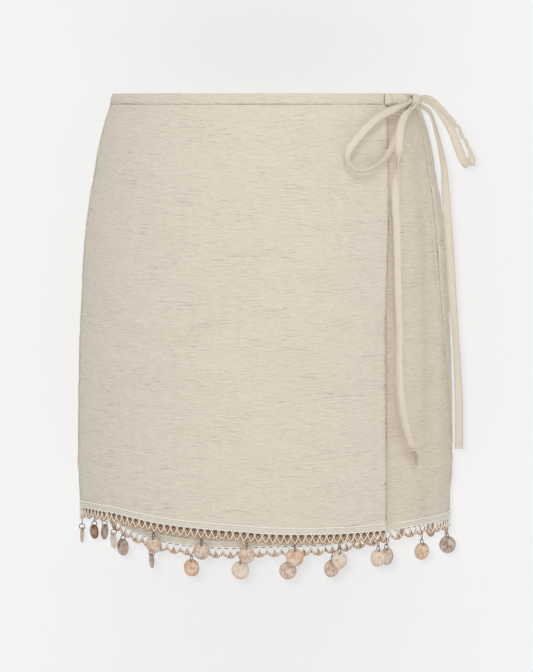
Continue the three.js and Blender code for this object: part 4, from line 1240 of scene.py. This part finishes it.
def lace_yarn(name, trim, hung_at, rng, seed):
    """The roped yarn along the scallops, with short yarn fans above it."""
    pile = Pile()
    half = trim.pitch / 2
    cells = 2 * trim.scallops
    for crossing in range(cells + 1):
        top = crossing * half
        for spread, height in FANS:
            t = np.linspace(0, 1, 6)
            along = trim.keep(top + spread * (0.15 + 0.85 * t) + rng.normal(0, 0.0002) * t)
            deep = scallop_drop(along[-1:], trim.pitch)[0]
            deep -= 0.0009 * np.max(np.exp(-(((top - hung_at) / 0.0026) ** 2)))
            below = height + rng.normal(0, 0.0003) + (deep - height) * t
            out = LACE_MIDDLE - 0.0003 + 0.0003 * np.sin(t * np.pi) + rng.normal(0, 0.00008)
            thread(pile, trim, along, below, out, 0.0004, look=int(spread > 0))
    for strand in (0, 1):
        along = trim.whole(0.00042)
        turn = along / ROPE_TWIST * 2 * np.pi + strand * np.pi
        swell = ROPE_SWELL + 0.00008 * noise(along / 0.005, 0 * along, seed + 2)
        thin = 1 + 0 * along
        for hung in hung_at:
            thin -= ROPE_THINNED * np.exp(-(((along - hung) / 0.0028) ** 2))
        swell = swell * thin
        below = scallop_drop(along, trim.pitch) + swell * np.cos(turn)
        out = LACE_MIDDLE + swell * np.sin(turn)
        thread(pile, trim, along, below, out, ROPE_RADIUS * thin, sides=7, look=1 - strand)
    for cell in range(cells if name == "overlap" else 0):
        for spread in FILL_SPREADS:
            t = np.linspace(0, 1, 5)
            along = (cell + 0.5) * half + spread * (1 - 0.75 * t) + rng.normal(0, 0.0002) * t
            below = 0.0058 + rng.normal(0, 0.0002) + (0.0066 - np.abs(spread)) * t
            out = LACE_MIDDLE - 0.0006 + rng.normal(0, 0.00012) + 0.0002 * np.sin(t * np.pi)
            look = int(rng.random() < 0.6)
            thread(pile, trim, trim.keep(along), below, out, 0.00044, sides=5, look=look)
    pile.piece(f"lace_{name}_yarn", [TAN_YARN, BROWN_YARN], ROOT, [f"lace_{name}"])


def lace_white(name, trim, hung_at, rng):
    """Two white threads that cross at each cell, and white lashings round the rope."""
    pile = Pile()
    half = trim.pitch / 2
    cells = 2 * trim.scallops
    for phase in (0, 1):
        knots, drops = [], []
        for cell in range(-1, cells + 2, 2):
            base = (cell + phase + 0.5) * half
            knots += (base - ZIGZAG_SHARE[:0:-1] * half).tolist() + (base + ZIGZAG_SHARE * half).tolist()
            drops += ZIGZAG_DROP[:0:-1].tolist() + ZIGZAG_DROP.tolist()
        knots, drops = np.array(knots), np.array(drops)
        knots = knots + rng.normal(0, 0.0002, len(knots))
        order = np.argsort(knots)
        knots, drops = knots[order], drops[order] + rng.normal(0, 0.0002, len(drops))
        along = trim.whole(0.0006)
        below = np.interp(along, knots, drops)
        side = 1 - 2 * phase
        out = 0.00025 + side * 0.00022 * np.cos(along / trim.pitch * 2 * np.pi)
        thread(pile, trim, along, below, out, ZIGZAG_RADIUS)
    for place in np.arange(0.001, trim.length - 0.0015, LASH_PITCH):
        if np.min(np.abs(hung_at - place)) < LASH_CLEAR:
            continue
        along = place + np.linspace(-0.0004, 0.0006, 5)
        below = scallop_drop(along, trim.pitch) + np.linspace(0.0013, -0.0013, 5)
        out = LACE_MIDDLE + np.array((0.0006, 0.0014, 0.00165, 0.0014, 0.0006))
        thread(pile, trim, along, below, out, 0.00019, sides=4)
    pile.piece(f"lace_{name}_white", [WHITE_YARN], ROOT)


def lace_stitches(name, trim, rng):
    """Dark stitches at the top of each cell, two more dark rows below them on the overlap as painted shade,
    and a row of tan dots along the tape's edge.
    """
    dashes = Pile()
    for cell in range(2 * trim.scallops):
        middle = (cell + 0.5) * trim.pitch / 2 + rng.normal(0, 0.0001)
        # The first row is real stitching. On the overlap the second and third rows are painted shade for
        # the dark tops of its cells.
        for row in range(3 if name == "overlap" else 1):
            reach = 0.0019 - 0.0003 * row + rng.normal(0, 0.0001)
            along = trim.keep(middle + np.linspace(-reach, reach, 5))
            below = LACE_TOP + 0.0002 + 0.0007 * row + np.array((0, 0.00008, 0.0001, 0.00008, 0))
            depth = LACE_MIDDLE + (0.0006 if row == 0 else 0.0001)
            thread(dashes, trim, along, below, depth + 0 * along, 0.00036, sides=5)
    dashes.piece(f"lace_{name}_dashes", [DARK_YARN], ROOT)
    dots = Pile()
    for place in np.arange(0.0006, trim.length - 0.001, 0.0016):
        along = place + np.array((0, 0.00035, 0.0007)) + rng.normal(0, 0.00006)
        below = LACE_TOP - 0.0003 + np.array((0, 0.00004, 0))
        thread(dots, trim, along, below, np.array((-0.0001, 0.0004, -0.0001)), 0.00024, sides=4)
    dots.piece(f"tape_{name}_dots", [TAN_DOT_AND_SHADOW_THREAD], ROOT)


def lace_loops(name, trim, hooks):
    """The thread loops that the rings hang on."""
    pile = Pile()
    for hook, angle in hooks:
        at = np.array([trim.length_at(angle)])
        top = trim.place(at, scallop_drop(at, trim.pitch), LACE_MIDDLE)[0]
        up = unit(top - hook)
        side = level_side(angle)
        around = np.linspace(0, 2 * np.pi, 25)[:-1]
        tall = np.linalg.norm(top - hook) / 2 + 0.0006
        rise = up * (tall - tall * np.cos(around))[:, None]
        path = hook + rise + side * (0.0011 * np.sin(around))[:, None]
        pile.sweep(round_loop(path, 0.00038, 6, unit(np.cross(side, up))), closed=True)
    pile.piece(f"lace_{name}_loops", [BROWN_YARN], ROOT)


def lace(name, trim, hooks, seed):
    """Open trim: a roped yarn wave, crossed white threads, short yarn fans and dark stitches."""
    rng = np.random.default_rng(seed)
    hung_at = np.array([trim.length_at(hook[1]) for hook in hooks])
    lace_yarn(name, trim, hung_at, rng, seed)
    lace_white(name, trim, hung_at, rng)
    lace_stitches(name, trim, rng)
    lace_loops(name, trim, hooks)


def round_loop(path, radius, sides, facing):
    """Rings of a round cord along a closed path."""
    along = unit(np.roll(path, -1, axis=0) - np.roll(path, 1, axis=0))
    out = unit(facing - np.sum(facing * along, -1, keepdims=True) * along)
    side = np.cross(along, out)
    turn = np.arange(sides) / sides * 2 * np.pi
    around = out[:, None] * np.cos(turn)[:, None] + side[:, None] * np.sin(turn)[:, None]
    return path[:, None] + around * radius


# Shell discs
def level_side(facing):
    """The level direction along a face that looks out at an angle."""
    turn = np.radians(facing)
    return np.array((np.cos(turn), np.sin(turn), 0.0))


def drop_piece(name, hook, disc, seed):
    """A shell disc with its ring through its hole."""
    facing, lean, width, height, shade = disc
    slot, _, look = shade.partition(":")
    rng = np.random.default_rng(seed)
    turn = np.radians(facing)
    out = np.array((np.sin(turn), -np.cos(turn), 0.0))
    side = level_side(facing)
    tilt = np.radians(lean)
    upright = np.array((0, 0, 1.0))
    across = side * np.cos(tilt) - upright * np.sin(tilt)
    up = upright * np.cos(tilt) + side * np.sin(tilt)
    pivot = hook + upright * DISC_PIVOT
    centre = np.array((0.0, DISC_TOP - DISC_PIVOT - height / 2))

    around = np.linspace(0, 2 * np.pi, 56, endpoint=False)
    rays = np.stack([np.cos(around), np.sin(around)], -1)
    size = np.array((width, height)) / 2
    a = np.sum((rays / size) ** 2, -1)
    b = np.sum(rays * -centre / size**2, -1)
    c = np.sum((centre / size) ** 2) - 1
    reach = (-b + np.sqrt(b * b - a * c)) / a
    bumps = 1 + 0.012 * np.cos(around * 3 + rng.uniform(0, 6))
    bumps = bumps + 0.008 * np.cos(around * 7 + rng.uniform(0, 6))
    share = np.array((0.0, 0.06, 0.18, 0.38, 0.6, 0.8, 0.93, 0.98, 1.0))
    spread = HOLE_RADIUS + (reach * bumps - HOLE_RADIUS)[:, None] * share
    flat = rays[:, None] * spread[..., None]
    radius = np.linalg.norm((flat - centre) / size, axis=-1)
    dome = 0.0007 * (1 - radius**2)
    edge = np.array((0.55, 0.95, 1.0, 1.0, 1.0, 1.0, 0.9, 0.6, 0.2)) * DISC_THICK / 2
    front, back = dome + edge, dome - edge
    section_flat = np.concatenate([flat, flat[:, ::-1]], axis=1)
    section_high = np.concatenate([front, back[:, ::-1]], axis=1)
    rings = pivot + across * section_flat[..., :1] + up * section_flat[..., 1:]
    rings = rings + out * section_high[..., None]
    pile = Pile()
    pile.sweep(rings, section_flat + rng.uniform(0.02, 0.9, 2), closed=True)

    open_at = rng.uniform(0.6, 2.4) + np.pi / 2
    sweep = np.linspace(open_at + 0.05, open_at + 2 * np.pi - 0.05, 40)
    path = (out * np.cos(sweep)[:, None] + upright * np.sin(sweep)[:, None]) * RING_RADIUS
    path = hook + upright * RING_CENTRE + path
    pile.sweep(round_rings(path, RING_WIRE, 8, side), look=1)
    local = (section_flat - centre) / size
    pile.second = np.concatenate([local.reshape(-1, 2), np.zeros((pile.count - local[..., 0].size, 2))])
    materials = [SHELLS[look or slot], RING_METAL]
    pile.piece(f"disc_{name}", materials, f"drop_{name}", [f"drop_{name}"])


# Studio
def wall_paint():
    """Pale paint that glows a little and lets light and views through from behind."""
    wall = bpy.data.materials.new("studio_wall")
    wall.use_nodes = True
    tree = wall.node_tree
    paint = tree.nodes["Principled BSDF"]
    paint.inputs["Roughness"].default_value = 1.0
    paint.inputs["Specular IOR Level"].default_value = 0.0
    paint.inputs["Base Color"].default_value = (0.6, 0.6, 0.6, 1)
    paint.inputs["Emission Color"].default_value = WALL_TINT
    paint.inputs["Emission Strength"].default_value = WALL_GLOW
    clear = tree.nodes.new("ShaderNodeBsdfTransparent")
    side = tree.nodes.new("ShaderNodeNewGeometry")
    mix = tree.nodes.new("ShaderNodeMixShader")
    tree.links.new(side.outputs["Backfacing"], mix.inputs[0])
    tree.links.new(paint.outputs[0], mix.inputs[1])
    tree.links.new(clear.outputs[0], mix.inputs[2])
    tree.links.new(mix.outputs[0], tree.nodes["Material Output"].inputs[0])
    return wall


def stage_plane(name, corners, material):
    """One flat plane of the studio."""
    mesh = bpy.data.meshes.new(name)
    mesh.from_pydata(corners, [], [(0, 1, 2, 3)])
    mesh.materials.append(material)
    made = bpy.data.objects.new(name, mesh)
    bpy.context.scene.collection.objects.link(made)


def area_light(name, strength, size, place):
    light = bpy.data.lights.new(name, "AREA")
    light.energy = strength
    light.size = size
    lamp = bpy.data.objects.new(name, light)
    lamp.location = place
    bpy.context.scene.collection.objects.link(lamp)
    return lamp


def studio():
    """A pale wall close behind the skirt, a pale floor, a soft key light and an even fill."""
    scene = bpy.context.scene
    scene.view_settings.view_transform = "Standard"
    ground = Look("studio_floor", 1.0, Base_Color=FLOOR_TINT).material
    wide, wall_top = WALL_SIZE
    low, high = (WALL_Y, FLOOR_Z), (WALL_Y, wall_top)
    corners = ((-wide, *low), (wide, *low), (wide, *high), (-wide, *high))
    stage_plane("backdrop", corners, wall_paint())
    far = FLOOR_SIZE
    corners = ((-far, -far, FLOOR_Z), (far, -far, FLOOR_Z), (far, far, FLOOR_Z), (-far, far, FLOOR_Z))
    stage_plane("floor", corners, ground)
    lamp = area_light("key", KEY_STRENGTH, KEY_SIZE, KEY_PLACE)
    lamp.rotation_euler = (Vector(KEY_AIM) - Vector(KEY_PLACE)).to_track_quat("-Z", "Y").to_euler()
    lit = bpy.data.collections.new("lit_by_key")
    for thing in scene.objects:
        if thing.type == "MESH" and thing.name != "backdrop":
            lit.objects.link(thing)
    lamp.light_linking.receiver_collection = lit
    front = area_light("front", FRONT_STRENGTH, FRONT_SIZE, np.array(CAMERA_PLACE) + FRONT_SHIFT)
    front.data.color = FRONT_TINT
    front.rotation_euler = (math.radians(90 - CAMERA_TILT), 0, 0)
    world = bpy.data.worlds.new("fill")
    world.use_nodes = True
    world.node_tree.nodes["Background"].inputs["Color"].default_value = (1, 1, 1, 1)
    world.node_tree.nodes["Background"].inputs["Strength"].default_value = FILL_STRENGTH
    scene.world = world


def hook_of(name):
    """The hook point of a drop, from its joint in the frame."""
    joint = next(joint for joint in frame["joints"] if joint["child"] == f"drop_{name}")
    return np.array(joint["pos_m"], float)


def hook_angle(hook):
    """The angle round the body of a hook point."""
    drop = np.array([TOP_Z - hook[2]])
    half_width = read(BODY, "drop", "half_width", drop)[0]
    half_depth = read(BODY, "drop", "half_depth", drop)[0]
    return math.degrees(math.atan2(hook[0] / half_width, -hook[1] / half_depth))


make_camera()
ribbon("loop_left_ribbon", LEFT_LOOP, "tie_loop_left", "object", SEED + 1)
ribbon("loop_right_ribbon", RIGHT_LOOP, "tie_loop_right", "object", SEED + 2)
ribbon("tail_left_ribbon", LEFT_TAIL, "tie_tail_left", "frayed", SEED + 3)
ribbon("tail_right_ribbon", RIGHT_TAIL, "tie_tail_right", "bare", SEED + 4)
waistband()
painted_shadow_lines()
keeper()
tie_lead()
knot()
panel_piece(
    "overlap_cloth", PANELS["overlap"], 100, 390, 11, "front_overlap", free=("right",)
)
panel_piece(
    "under_cloth",
    PANELS["under"],
    110,
    300,
    12,
    "front_under",
    free=("left",),
    knot_pull=(61, 67.5),
    cloth=SHADED_UNDER_CLOTH,
)
panel_piece("back_cloth", PANELS["back"], 130, 300, 13, "back_panel")
seam_stitches("free_edge_stitches", PANELS["overlap"], (FREE_EDGE_ROW,), 1)
seam_stitches("right_seam_front_stitches", PANELS["under"], SEAM_ROWS, 1)
seam_stitches("left_seam_back_stitches", PANELS["back"], SEAM_ROWS, 1)
for row, (panel_name, panel) in enumerate(PANELS.items()):
    trim = Trim(panel)
    tape(panel_name, trim, SEED + 50 + row)
    hung = []
    for number, disc in enumerate(DISCS[panel_name], 1):
        drop_name = f"{panel_name}_{number:02d}"
        hook = hook_of(drop_name)
        angle = hook_angle(hook)
        if panel_name == "back" and angle < 0:
            angle += 360
        hung.append((hook, angle))
        drop_piece(drop_name, hook, disc, 100 * row + number)
    lace(panel_name, trim, hung, SEED + 60 + row)
studio()
